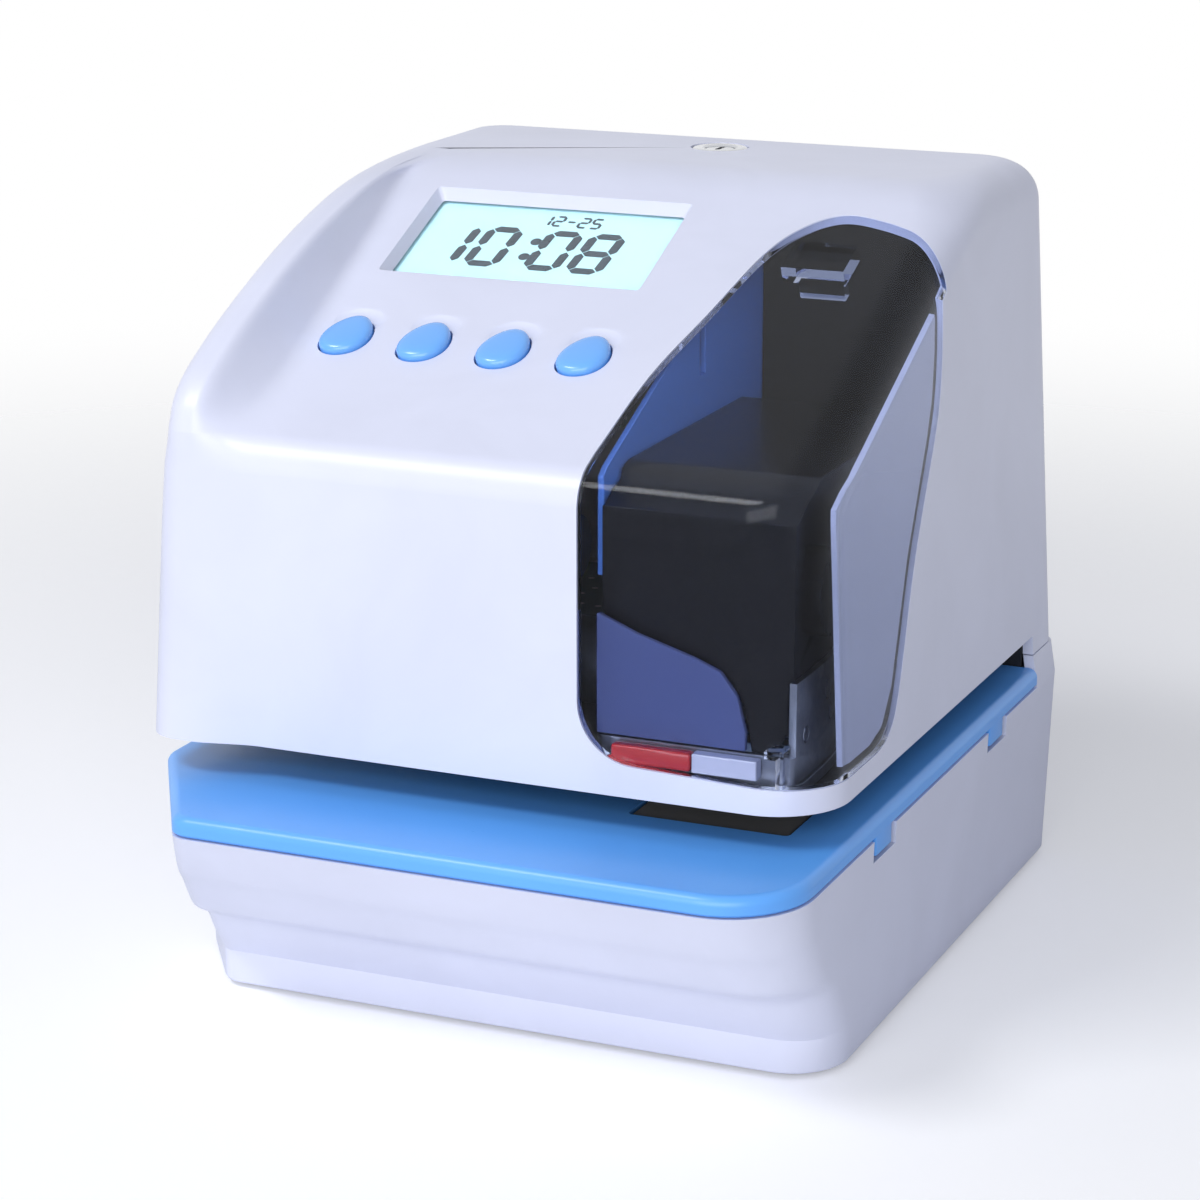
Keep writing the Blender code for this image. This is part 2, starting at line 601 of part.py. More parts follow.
def loft(name, rings, material=None, frame=None):
    """A closed solid through rings of equally many points, capped at both ends."""
    shape = bmesh.new()
    levels = [[shape.verts.new(point) for point in ring] for ring in rings]
    count = len(levels[0])
    for lower, upper in zip(levels, levels[1:]):
        for i in range(count):
            j = (i + 1) % count
            shape.faces.new((lower[i], lower[j], upper[j], upper[i]))
    shape.faces.new(list(reversed(levels[0])))
    shape.faces.new(levels[-1])
    bmesh.ops.remove_doubles(shape, verts=shape.verts, dist=MERGE)
    bmesh.ops.recalc_face_normals(shape, faces=shape.faces)
    item = add_object(name, shape, material)
    if frame is not None:
        item.matrix_world = frame
    return item


def combine(target, tool, operation):
    """A live Boolean; the tool becomes a hidden cutter."""
    step = target.modifiers.new(tool.name, "BOOLEAN")
    step.operation = operation
    step.solver = "EXACT"
    step.object = tool
    if tool.name in PARTS.objects:
        PARTS.objects.unlink(tool)
        CUTTERS.objects.link(tool)
    tool.hide_render = True
    tool.display_type = "WIRE"
    return target


def cut(target, *tools):
    for tool in tools:
        combine(target, tool, "DIFFERENCE")
    return target


def join(target, *tools):
    for tool in tools:
        combine(target, tool, "UNION")
    return target


def keep_inside(target, *tools):
    for tool in tools:
        combine(target, tool, "INTERSECT")
    return target


def soften(item, width, segments=2, angle=40.0):
    """Rounds the edges of a simple solid."""
    edge = item.modifiers.new("rounded_edges", "BEVEL")
    edge.width = width
    edge.segments = segments
    edge.limit_method = "ANGLE"
    edge.angle_limit = math.radians(angle)
    return item


# Outlines

def rounded(points, radii, steps=4, closed=True):
    """A polygon or open line whose corners are replaced by arcs of the given radii."""
    result = []
    count = len(points)
    for i, (corner, radius) in enumerate(zip(points, radii)):
        if radius <= 0 or (not closed and i in (0, count - 1)):
            result.append(tuple(corner))
            continue
        here = Vector(corner)
        back = (Vector(points[i - 1]) - here)
        ahead = (Vector(points[(i + 1) % count]) - here)
        angle = back.angle(ahead)
        reach = min(radius / math.tan(angle / 2), back.length / 2, ahead.length / 2)
        first = here + back.normalized() * reach
        last = here + ahead.normalized() * reach
        true_radius = reach * math.tan(angle / 2)
        middle = here + (back.normalized() + ahead.normalized()).normalized() * true_radius / math.sin(angle / 2)
        start = first - middle
        turn = start.angle_signed(last - middle)
        for k in range(steps + 1):
            share = -turn * k / steps
            spun = Matrix.Rotation(share, 2) @ start
            result.append(tuple(middle + spun))
    return result


def along(line, value, key=0):
    """Reads a line of points at one coordinate and gives the other, held at its ends."""
    other = 1 - key
    ordered = sorted(line, key=lambda point: point[key])
    if value <= ordered[0][key]:
        return ordered[0][other]
    for a, b in zip(ordered, ordered[1:]):
        if value <= b[key]:
            span = b[key] - a[key]
            share = (value - a[key]) / span if span else 1.0
            return a[other] + share * (b[other] - a[other])
    return ordered[-1][other]


def mix(a, b, share):
    return a + (b - a) * share


def smooth_share(value, low, high):
    share = min(max((value - low) / (high - low), 0.0), 1.0)
    return share * share * (3.0 - 2.0 * share)


def corner_arc(centre, across, length, start, steps):
    """A quarter of an ellipse, turning anticlockwise from a quarter number."""
    quarter = math.pi / 2
    return [
        (centre[0] + across * math.cos(start * quarter + quarter * i / steps),
         centre[1] + length * math.sin(start * quarter + quarter * i / steps))
        for i in range(steps + 1)]


# Base and deck sections

def base_share(z):
    """How far up the leaning front a level lies, from the skirt to the deck."""
    skirt_top = FOOT_STAND + SKIRT_HEIGHT
    return min(max((z - skirt_top) / (BASE_TOP - skirt_top), 0.0), 1.0)


def base_front(z):
    lean = along(BASE_LEAN_SHARES, base_share(z), key=0)
    return FRONT + BASE_FRONT_LEAN * (1.0 - lean)


def base_section(z, inset=0.0):
    """Plan of the base at one level: three round corners and one cut corner."""
    rise = base_share(z)
    height_share = min(z / BASE_TOP, 1.0)
    half = mix(HALF - BASE_SIDE_LEAN, HALF, height_share) - inset
    half -= max(z - BASE_TOP, 0.0) / (COLUMN_PARTING - BASE_TOP) * (HALF - head_half(COLUMN_PARTING))
    front = base_front(z) + inset
    rear = REAR - BASE_REAR_LEAN * (1.0 - height_share) - inset
    corner = mix(SKIRT_CORNER_RADIUS, BASE_CORNER_RADIUS, rise) - inset
    rear_radius = BASE_REAR_RADIUS - min(inset, BASE_REAR_RADIUS / 2)
    cut_length = mix(SKIRT_CUT_LENGTH, CORNER_CUT_LENGTH, rise) - inset / 2
    cut_width = mix(SKIRT_CUT_WIDTH, CORNER_CUT_WIDTH, rise) - inset / 2
    outline = [
        (half, rear), (-half, rear), (-half, front + cut_length), (-half + cut_width, front), (half, front)]
    radii = [rear_radius, rear_radius, CORNER_CUT_ROUND, CORNER_CUT_ROUND, corner]
    return rounded(outline, radii, steps=6)


def ring(section, z):
    return [(x, y, z) for x, y in section]


def base_housing():
    """White tub of the base, with its column stub, bosses, notches and inlet opening."""
    levels = [FOOT_STAND + BASE_BOTTOM_ROUND]
    skirt_top = FOOT_STAND + SKIRT_HEIGHT
    levels += [skirt_top + share * (BASE_TOP - skirt_top) for share, _ in BASE_LEAN_SHARES]
    levels.append(COLUMN_PARTING - SEAT_GAP)
    rings = [ring(base_section(FOOT_STAND, BASE_BOTTOM_ROUND), FOOT_STAND)]
    rings += [ring(base_section(z), z) for z in levels]
    housing = loft("base_housing", rings, "white_housing")
    hollow_levels = [FLOOR_TOP] + levels[1:-1] + [COLUMN_PARTING + CUT_OVERRUN]
    hollow = loft("base_hollow", [ring(base_section(z, WALL), z) for z in hollow_levels])
    throat = box("base_throat_cut", (-HALF - CUT_OVERRUN, FRONT - CUT_OVERRUN, BASE_TOP),
                 (HALF + CUT_OVERRUN, COLUMN_FRONT, COLUMN_PARTING + CUT_OVERRUN))
    cut(housing, hollow, throat)
    for i, (x, y) in enumerate(chassis_screw_places()):
        post = cylinder(f"base_boss_{i}", (x, y, FLOOR_TOP - FOOT_STAND / 2), "Z", BOSS_RADIUS,
                        CHASSIS_BASE_HEIGHT - SEAT_GAP - FLOOR_TOP + FOOT_STAND / 2, sides=16)
        join(housing, post)
    for i, (x, y) in enumerate(chassis_screw_places()):
        bottom = PLATE_SEAT - SCREW_LENGTH - SEAT_GAP
        cut(housing, cylinder(f"boss_hole_{i}", (x, y, bottom), "Z", SCREW_RADIUS + SCREW_CLEARANCE,
                              SCREW_LENGTH + CUT_OVERRUN, sides=12))
    for i, (x, y) in enumerate(foot_places()):
        cut(housing, cylinder(f"foot_pocket_{i}", (x, y, -CUT_OVERRUN), "Z", FOOT_RADIUS + SEAT_GAP,
                              FOOT_HEIGHT + SEAT_GAP + CUT_OVERRUN, sides=20))
    for i, (side, y) in enumerate(tab_places()):
        inner = side * (HALF - WALL - CUT_OVERRUN / 4)
        outer = side * (HALF + CUT_OVERRUN)
        cut(housing, box(f"tab_notch_{i}",
                         (min(inner, outer), y - TAB_NOTCH_MARGIN, DECK_BOTTOM - TAB_DROP - TAB_NOTCH_MARGIN / 2),
                         (max(inner, outer), y + TAB_LENGTH + TAB_NOTCH_MARGIN, DECK_BOTTOM + CUT_OVERRUN)))
    half_width = INLET_WIDTH / 2 + SEAT_GAP
    cut(housing, box("inlet_opening",
                     (INLET_CENTRE_X - half_width, REAR - 2 * WALL, INLET_BOTTOM - SEAT_GAP),
                     (INLET_CENTRE_X + half_width, REAR + CUT_OVERRUN, INLET_BOTTOM + INLET_HEIGHT + SEAT_GAP)))
    return housing


def chassis_screw_places():
    left = CHASSIS_LEFT + SCREW_INSET
    right = CHASSIS_RIGHT - SCREW_RIGHT_INSET
    front = PLATEN_CENTRE_Y + PLATEN_DEPTH / 2 + 2 * SCREW_HEAD_RADIUS
    back = UPRIGHT_Y - SCREW_INSET
    return [(left, front), (right, front), (left, back), (right, back)]


def foot_places():
    return [(-FOOT_X, FOOT_FRONT_Y), (FOOT_X, FOOT_FRONT_Y), (-FOOT_X, FOOT_REAR_Y), (FOOT_X, FOOT_REAR_Y)]


def tab_places():
    return [(1, TAB_FRONT), (1, TAB_SECOND_Y), (-1, TAB_FRONT), (-1, TAB_SECOND_Y)]


def feet():
    for i, (x, y) in enumerate(foot_places()):
        cylinder(f"foot_{i + 1}", (x, y, 0), "Z", FOOT_RADIUS - SEAT_GAP, FOOT_HEIGHT, "rubber", sides=24)


def deck_plate():
    """Blue paper deck with a rounded edge, snap tabs, the platen opening and the stop's slot."""
    edge = DECK_EDGE_ROUND
    steps = [(DECK_BOTTOM, edge / 4), (DECK_BOTTOM + edge / 4, 0.0)]
    steps += [(DECK_TOP - edge * below, edge * drawn) for below, drawn in DECK_EDGE_SHARES]
    rings = [ring(base_section(BASE_TOP, inset), z) for z, inset in steps]
    deck = loft("deck_plate", rings, "blue_plastic")
    cut(deck, box("deck_rear_cut", (-HALF - CUT_OVERRUN, COLUMN_FRONT - SEAT_GAP, DECK_BOTTOM - CUT_OVERRUN),
                  (HALF + CUT_OVERRUN, REAR + CUT_OVERRUN, DECK_TOP + CUT_OVERRUN)))
    half_x = PLATEN_WIDTH / 2 + 2 * SEAT_GAP
    half_y = PLATEN_DEPTH / 2 + 2 * SEAT_GAP
    cut(deck, box("platen_opening",
                  (PLATEN_CENTRE_X - half_x, PLATEN_CENTRE_Y - half_y, DECK_BOTTOM - CUT_OVERRUN),
                  (PLATEN_CENTRE_X + half_x, PLATEN_CENTRE_Y + half_y, DECK_TOP + CUT_OVERRUN)))
    slot_half = STOP_TONGUE / 2 + STOP_SLOT_MARGIN
    front = STOP_REST_Y - STOP_TRAVEL - STOP_DEPTH / 2 - SEAT_GAP
    back = STOP_REST_Y + STOP_DEPTH / 2 + SEAT_GAP
    cut(deck, box("stop_slot", (-slot_half, front, DECK_BOTTOM - CUT_OVERRUN),
                  (slot_half, back, DECK_TOP + CUT_OVERRUN)))
    for i, (side, y) in enumerate(tab_places()):
        outer = side * (HALF - SEAT_GAP)
        inner = side * (HALF - SEAT_GAP - TAB_THICKNESS)
        join(deck, box(f"snap_tab_{i}", (min(inner, outer), y, DECK_BOTTOM - TAB_DROP),
                       (max(inner, outer), y + TAB_LENGTH, DECK_BOTTOM + DECK_THICKNESS / 4)))
    return deck


# Head cover sections

def head_half(z):
    return HEAD_HALF - HEAD_DRAFT_SHARE * (z - HEAD_BOTTOM)


def panel_line():
    """Side view of the front wall, the bend, the sloping panel and the flat top."""
    low = HEAD_BOTTOM - CUT_OVERRUN
    points = [
        (HEAD_FRONT + HEAD_DRAFT_SHARE * (low - HEAD_BOTTOM), low), (PANEL_FRONT, PANEL_START_HEIGHT),
        (PANEL_BACK, BODY_HEIGHT), (REAR, BODY_HEIGHT)]
    bend = rounded(points[:3], [0, PANEL_BEND_RADIUS, 0], steps=BEND_STEPS, closed=False)
    crest = rounded(points[1:], [0, PANEL_TOP_RADIUS, 0], steps=CREST_STEPS, closed=False)
    return bend[:-1] + crest[1:-1]


def fender_line():
    """Side view of the raised left edge above the front wall."""
    low = HEAD_BOTTOM - CUT_OVERRUN
    line = [(HEAD_FRONT + HEAD_DRAFT_SHARE * (low - HEAD_BOTTOM), low)]
    for length, height in FENDER_SHARES:
        line.append((FENDER_FRONT + length * FENDER_LENGTH, mix(FENDER_START_HEIGHT, BODY_HEIGHT, height)))
    return line


PANEL_LINE = panel_line()
FENDER_LINE = fender_line()


def wall_place(line, z, inset):
    """Y of a front line at a level, moved one wall in and one wall down."""
    if inset <= 0:
        return along(line, z, key=1)
    lifted = along(line, z + inset / math.cos(PANEL_SLOPE), key=1)
    return max(lifted, along(line, z, key=1) + inset)


def edge_roll(z, radius, inset):
    """How far a wall leans in where its top edge is rounded."""
    climb = z - (BODY_HEIGHT - radius)
    small = radius - inset
    if climb <= 0:
        return 0.0
    return small - math.sqrt(max(small * small - climb * climb, 0.0))


def head_section(z, inset=0.0):
    """Plan of the head at one level, with the step beside the sunk panel."""
    half = head_half(z) - inset
    right = half - edge_roll(z, SHOULDER_RADIUS, inset)
    left = -half + edge_roll(z, FENDER_EDGE_RADIUS, inset)
    rear = REAR - HEAD_DRAFT_SHARE * (z - COLUMN_PARTING) - inset - edge_roll(z, HEAD_REAR_RADIUS, inset)
    panel = wall_place(PANEL_LINE, z, inset)
    fender = wall_place(FENDER_LINE, z, inset)
    blend = smooth_share(z, PANEL_START_HEIGHT - PANEL_BEND_RADIUS, PANEL_START_HEIGHT + PANEL_BEND_RADIUS / 2)
    across = mix(HEAD_CORNER_RADIUS, SHOULDER_RADIUS, blend) - inset
    length = mix(HEAD_CORNER_RADIUS, SHOULDER_RADIUS / math.sin(PANEL_SLOPE), blend) - inset
    left_across = mix(HEAD_LEFT_RADIUS, FENDER_EDGE_RADIUS, blend) - inset
    left_length = mix(HEAD_LEFT_RADIUS, 2 * FENDER_EDGE_RADIUS, blend) - inset
    rear_radius = HEAD_REAR_RADIUS - inset
    outline = corner_arc((right - rear_radius, rear - rear_radius), rear_radius, rear_radius, 0, 4)
    outline += corner_arc((left + rear_radius, rear - rear_radius), rear_radius, rear_radius, 1, 4)
    outline += corner_arc((left + left_across, fender + left_length), left_across, left_length, 2, 6)
    groove = -HEAD_HALF * along(GROOVE_SHARES, (panel - PANEL_FRONT) / PANEL_LENGTH, key=0)
    outline += [(FENDER_RIM - inset, fender), (groove - inset, panel)]
    outline += corner_arc((right - across, panel + length), across, length, 3, 8)
    return outline


def head_levels(crown):
    """Levels for the head's rings: the bend, the slope and the rounded top edges."""
    bend = [z for _, z in PANEL_LINE[1:BEND_STEPS + 2]]
    top = bend[-1]
    slope = [mix(top, BODY_HEIGHT, share) for share in SLOPE_LEVEL_SHARES]
    rolled = [BODY_HEIGHT - SHOULDER_RADIUS * share for share in ROLL_LEVEL_SHARES]
    levels = [COLUMN_PARTING, HEAD_BOTTOM] + bend + slope
    levels = [z for z in levels if z < rolled[0] - SHOULDER_RADIUS / 8] + rolled
    return [z for z in levels if z < crown - WALL / 8] + [crown]


def head_form(name, inset=0.0, material=None, foot=0.0):
    levels = head_levels(BODY_HEIGHT - inset)
    levels[0] -= foot
    return loft(name, [ring(head_section(z, inset), z) for z in levels], material)


def panel_height(y):
    """Height of the panel's plane at a depth."""
    return PANEL_START_HEIGHT + (y - PANEL_FRONT) * math.tan(PANEL_SLOPE)


def panel_frame(x, y):
    """Local frame on the sloping panel: X across, Y up the slope, Z out of the panel."""
    return Matrix.Translation((x, y, panel_height(y))) @ Matrix.Rotation(PANEL_SLOPE, 4, "X")


def window_outlines(gap):
    """Outlines of the window in plan, front view and side view, each drawn in by a gap."""
    left = WINDOW_LEFT + gap
    back = WINDOW_TOP_BACK - gap
    out = HALF + CUT_OVERRUN
    far = FRONT - CUT_OVERRUN
    start = PANEL_FRONT + PANEL_BEND_RADIUS
    run = HEAD_HALF - WINDOW_LEFT
    plan = [(out, far), (left, far)]
    plan += [(left + x * run, mix(start, back, y)) for x, y in WINDOW_TOP_SHARES]
    plan.append((out, plan[-1][1]))
    radius = WINDOW_CORNER_RADIUS - gap
    high = BODY_HEIGHT + CUT_OVERRUN
    floor_line = [(left, high), (left, WINDOW_FLOOR + gap), (HALF, WINDOW_SIDE_FLOOR + gap),
                  (out, WINDOW_SIDE_FLOOR + gap), (out, high)]
    front = rounded(floor_line, [0, radius, 0, 0, 0], steps=7)
    side_back = WINDOW_SIDE_BACK - gap
    side_run = side_back - HEAD_FRONT
    low = WINDOW_SIDE_FLOOR + gap
    climb = panel_height(WINDOW_SIDE_BACK) - WINDOW_SIDE_DROP - low
    side = [(far, low)] + [(HEAD_FRONT + y * side_run, low + z * climb) for y, z in WINDOW_SIDE_SHARES]
    side += [(REAR, high), (far, high)]
    return plan, front, side


def window_region(name, gap):
    """The block of space that holds the window, as three outlines crossed."""
    plan, front, side = window_outlines(gap)
    region = prism(name, plan, "XY", HEAD_BOTTOM - CUT_OVERRUN, BODY_HEIGHT + CUT_OVERRUN)
    keep_inside(region, prism(name + "_front", front, "XZ", FRONT - CUT_OVERRUN, REAR + CUT_OVERRUN))
    keep_inside(region, prism(name + "_side", side, "YZ", -HALF, HALF + 2 * CUT_OVERRUN))
    return region


def cover_shell():
    """White moulded cover of the head, with its panel, groove, window and key openings."""
    shell = head_form("cover_shell", 0.0, "white_housing")
    cut(shell, head_form("cover_hollow", WALL, foot=CUT_OVERRUN / 2))
    cut(shell, box("cover_throat_cut", (-HALF - CUT_OVERRUN, FRONT - CUT_OVERRUN, HEAD_BOTTOM - CUT_OVERRUN),
                   (HALF + CUT_OVERRUN, COLUMN_FRONT, HEAD_BOTTOM)))
    cut(shell, window_region("window_opening", 0.0))
    place = panel_frame(DISPLAY_CENTRE_X, DISPLAY_CENTRE_Y)
    cut(shell, display_opening(place))
    for i in range(KEY_COUNT):
        frame = panel_frame(KEY_FIRST_X + i * KEY_PITCH, KEY_ROW_Y)
        hole = prism(f"key_hole_{i}", key_outline(KEY_CLEARANCE), "XY", -2 * WALL, 2 * WALL, frame=frame)
        cut(shell, hole)
    for i, (x, y) in enumerate(keypad_posts()):
        length = KEYPAD_DEPTH - SEAT_GAP - WALL
        post = cylinder(f"keypad_post_{i}", (x, y, SEAT_GAP - KEYPAD_DEPTH + SEAT_GAP), "Z", POST_RADIUS,
                        length, sides=12, frame=panel_frame(keypad_centre(), KEY_ROW_Y))
        join(shell, post)
    cut(shell, cylinder("lock_seat", (LOCK_X, LOCK_Y, BODY_HEIGHT - LOCK_SINK - SEAT_GAP), "Z",
                        LOCK_FLANGE_RADIUS + SEAT_GAP, CUT_OVERRUN, sides=32))
    cut(shell, cylinder("lock_hole", (LOCK_X, LOCK_Y, BODY_HEIGHT - CUT_OVERRUN), "Z",
                        LOCK_BARREL_RADIUS + SEAT_GAP, 2 * CUT_OVERRUN, sides=32))
    return shell


def window_cover():
    """Smoke-clear window over the ribbon, flush with the cover, with its latch and hook."""
    window = head_form("window_cover", 0.0, "smoke_clear")
    cut(window, head_form("window_hollow", WINDOW_THICKNESS, foot=CUT_OVERRUN / 2))
    keep_inside(window, window_region("window_bound", SEAT_GAP))
    width, depth, drop = WINDOW_LATCH_SIZE
    x, y = WINDOW_LATCH_PLACE
    frame = panel_frame(x, y)
    low = -WINDOW_THICKNESS - drop
    block = box("window_latch", (-width / 2, -depth / 2, -WINDOW_THICKNESS - drop / 2),
                (width / 2, depth / 2, -WINDOW_THICKNESS / 2), frame=frame)
    tongue = box("window_latch_tongue", (-width / 4, -depth / 2, low),
                 (width / 2, -depth / 4, -WINDOW_THICKNESS / 2), frame=frame)
    join(window, block, tongue)
    hook_width, hook_depth, hook_height = WINDOW_HOOK_SIZE
    hook_x, hook_z = WINDOW_HOOK_PLACE
    front = HEAD_FRONT + WINDOW_THICKNESS / 2
    arm = box("window_hook", (hook_x - hook_width / 2, front, hook_z + hook_height),
              (hook_x + hook_width / 2, UNIT_FRONT - 2 * SEAT_GAP, hook_z + hook_height + hook_depth))
    lip = box("window_hook_lip", (hook_x + hook_width / 2 - hook_depth, front, hook_z + hook_depth),
              (hook_x + hook_width / 2, UNIT_FRONT - 2 * SEAT_GAP, hook_z + hook_height + hook_depth / 2))
    join(window, arm, lip)
    return window


def window_side_liner():
    """Pale lining behind the window's side pane, its top edge parallel to the panel."""
    _, _, side = window_outlines(SIDE_LINER_MARGIN)
    drop = WINDOW_SIDE_DROP + SIDE_LINER_MARGIN
    front = HEAD_FRONT + HEAD_CORNER_RADIUS + SIDE_LINER_SETBACK
    back = side[-3][0]
    edge = [(y, z) for y, z in side[1:-2] if z < panel_height(y) - drop]
    bound = [(front, edge[0][1])] + edge + [(back, panel_height(back) - drop), (front, panel_height(front) - drop)]
    place = Matrix.Translation((HEAD_HALF - WINDOW_THICKNESS - SEAT_GAP, 0, HEAD_BOTTOM))
    place @= Matrix.Rotation(-math.atan(HEAD_DRAFT_SHARE), 4, "Y")
    return prism("window_side_liner", [(y, z - HEAD_BOTTOM) for y, z in bound], "YZ", -SIDE_LINER_THICKNESS, 0,
                 "pale_grey_plastic", frame=place)


# Display

def display_opening(frame):
    """Opening whose walls slope in from the outer size to the sight size."""
    over = 2 * WALL
    slope_x = (DISPLAY_OPENING[0] - DISPLAY_SIGHT[0]) / 2 / WALL
    slope_y = (DISPLAY_OPENING[1] - DISPLAY_SIGHT[1]) / 2 / WALL
    rings = []
    for z in (-over, over):
        half_x = DISPLAY_OPENING[0] / 2 + z * slope_x
        half_y = DISPLAY_OPENING[1] / 2 + z * slope_y
        corners = [(half_x, half_y), (-half_x, half_y), (-half_x, -half_y), (half_x, -half_y)]
        rings.append(ring(corners, z))
    return loft("display_opening", rings, frame=frame)


def display_glass():
    width, length = [sight + 2 * (slope + border) for sight, slope, border in
                     zip(DISPLAY_SIGHT, DISPLAY_WALL_SLOPE, DISPLAY_GLASS_BORDER)]
    return width, length, DISPLAY_GLASS_THICKNESS


def lcd_panel():
    """Liquid crystal glass under the panel opening."""
    width, height, thickness = display_glass()
    top = -WALL - SEAT_GAP
    return box("lcd_panel", (-width / 2, -height / 2, top - thickness), (width / 2, height / 2, top),
               "display_glass", frame=panel_frame(DISPLAY_CENTRE_X, DISPLAY_CENTRE_Y))


def lcd_frame():
    """Tray that holds the glass against the cover."""
    width, height, thickness = display_glass()
    frame = panel_frame(DISPLAY_CENTRE_X, DISPLAY_CENTRE_Y)
    rim = DISPLAY_FRAME_RIM
    top = -WALL - SEAT_GAP
    tray = box("lcd_frame", (-width / 2 - rim, -height / 2 - rim, top - DISPLAY_FRAME_DEPTH),
               (width / 2 + rim, height / 2 + rim, top), "black_plastic", frame=frame)
    pocket = box("lcd_pocket", (-width / 2 - SEAT_GAP, -height / 2 - SEAT_GAP, top - thickness - SEAT_GAP),
                 (width / 2 + SEAT_GAP, height / 2 + SEAT_GAP, top + CUT_OVERRUN), frame=frame)
    light = box("lcd_light_window", (-DISPLAY_SIGHT[0] / 2, -DISPLAY_SIGHT[1] / 2, top - CUT_OVERRUN),
                (DISPLAY_SIGHT[0] / 2, DISPLAY_SIGHT[1] / 2, top), frame=frame)
    return cut(tray, pocket, light)


# Keys

def key_outline(grow=0.0):
    """Egg outline, its narrow end up and to the right: an ellipse squeezed towards one end."""
    points = []
    for i in range(KEY_STEPS):
        angle = 2 * math.pi * i / KEY_STEPS
        squeeze = 1.0 - KEY_POINT_SHARE * math.sin(angle)
        lean = KEY_POINT_SHARE * math.sin(angle)
        x = (KEY_WIDTH / 2 + grow) * math.cos(angle) * squeeze + KEY_WIDTH / 2 * lean
        y = (KEY_LENGTH / 2 + grow) * math.sin(angle)
        points.append((x, y))
    return points


def keypad_centre():
    return KEY_FIRST_X + (KEY_COUNT - 1) * KEY_PITCH / 2


def keypad_posts():
    half_x = KEYPAD_BOARD[0] / 2 - POST_RADIUS
    half_y = KEYPAD_BOARD[1] / 2 - POST_RADIUS
    return [(-half_x, -half_y), (half_x, -half_y), (-half_x, half_y), (half_x, half_y)]


def button(index):
    """Domed key with a keeper flange and a stem above its switch."""
    frame = panel_frame(KEY_FIRST_X + index * KEY_PITCH, KEY_ROW_Y)
    top = KEY_PROUD
    flange_top = -WALL - SEAT_GAP
    flange_bottom = flange_top - KEY_FLANGE_THICKNESS
    levels = [(flange_bottom, 1.0, KEY_FLANGE), (flange_top, 1.0, KEY_FLANGE), (flange_top, 1.0, 0.0)]
    levels += [(top * height, width, 0.0) for height, width in KEY_DOME_SHARES]
    rings = []
    for z, share, grow in levels:
        rings.append([(x * share, y * share, z) for x, y in key_outline(grow)])
    key = loft(f"button_{index + 1}", rings, "blue_plastic")
    stem = cylinder(f"button_stem_{index + 1}", (0, 0, -switch_top() + KEY_TRAVEL + SEAT_GAP), "Z", KEY_STEM_RADIUS,
                    switch_top() - KEY_TRAVEL - SEAT_GAP + flange_bottom + KEY_FLANGE_THICKNESS / 2, sides=12)
    stem.matrix_world = frame
    key.matrix_world = frame
    return join(key, stem)


def switch_top():
    return KEYPAD_DEPTH - SWITCH_SIZE / 2


def keypad_board():
    """Board under the keys with one small push switch below each of them."""
    width, height, thickness = KEYPAD_BOARD
    half = SWITCH_SIZE / 2
    frame = panel_frame(keypad_centre(), KEY_ROW_Y)
    board = box("keypad_board", (-width / 2, -height / 2, -KEYPAD_DEPTH - thickness),
                (width / 2, height / 2, -KEYPAD_DEPTH), "circuit_board", frame=frame)
    for i in range(KEY_COUNT):
        x = (i - (KEY_COUNT - 1) / 2) * KEY_PITCH
        switch = box(f"switch_{i}", (x - half, -half, -KEYPAD_DEPTH - thickness / 2), (x + half, half, -switch_top()),
                     frame=frame)
        join(board, switch)
    return board


# Lock

def lock_barrel():
    top = BODY_HEIGHT
    barrel = cylinder("lock_barrel", (LOCK_X, LOCK_Y, top - LOCK_BARREL_LENGTH), "Z", LOCK_BARREL_RADIUS,
                      LOCK_BARREL_LENGTH - LOCK_SINK / 2, "bright_steel", sides=32)
    flange = cylinder("lock_flange", (LOCK_X, LOCK_Y, top - LOCK_SINK), "Z", LOCK_FLANGE_RADIUS, LOCK_SINK, sides=32)
    join(barrel, flange)
    return cut(barrel, cylinder("lock_bore", (LOCK_X, LOCK_Y, top - 2 * CUT_OVERRUN), "Z",
                                LOCK_PLUG_RADIUS + RUNNING_GAP, 4 * CUT_OVERRUN, sides=32))


def lock_plug():
    """Turning plug of the lock, with its keyway."""
    bottom = BODY_HEIGHT - LOCK_BARREL_LENGTH - SEAT_GAP
    place = Matrix.Translation((LOCK_X, LOCK_Y, BODY_HEIGHT))
    plug = cylinder("lock_plug", (0, 0, bottom - BODY_HEIGHT), "Z", LOCK_PLUG_RADIUS, LOCK_BARREL_LENGTH,
                    "bright_steel", sides=32, frame=place)
    width, thick, deep = KEYWAY
    return cut(plug, box("keyway", (-thick / 2, -width / 2, -deep), (thick / 2, width / 2, CUT_OVERRUN), frame=place))


def cam_top():
    return BODY_HEIGHT - LOCK_BARREL_LENGTH - 2 * SEAT_GAP


def lock_cam():
    """Cam under the plug, pointing to the rear when the cover is free."""
    half = LOCK_CAM_WIDTH / 2
    outline = [(-half, -half), (half, -half), (half, LOCK_CAM_LENGTH), (-half, LOCK_CAM_LENGTH)]
    ends = half * LOCK_CAM_ROUND_SHARE
    return prism("lock_cam", rounded(outline, [ends] * 4), "XY", -LOCK_CAM_THICKNESS, 0, "zinc_steel",
                 frame=Matrix.Translation((LOCK_X, LOCK_Y, cam_top())))


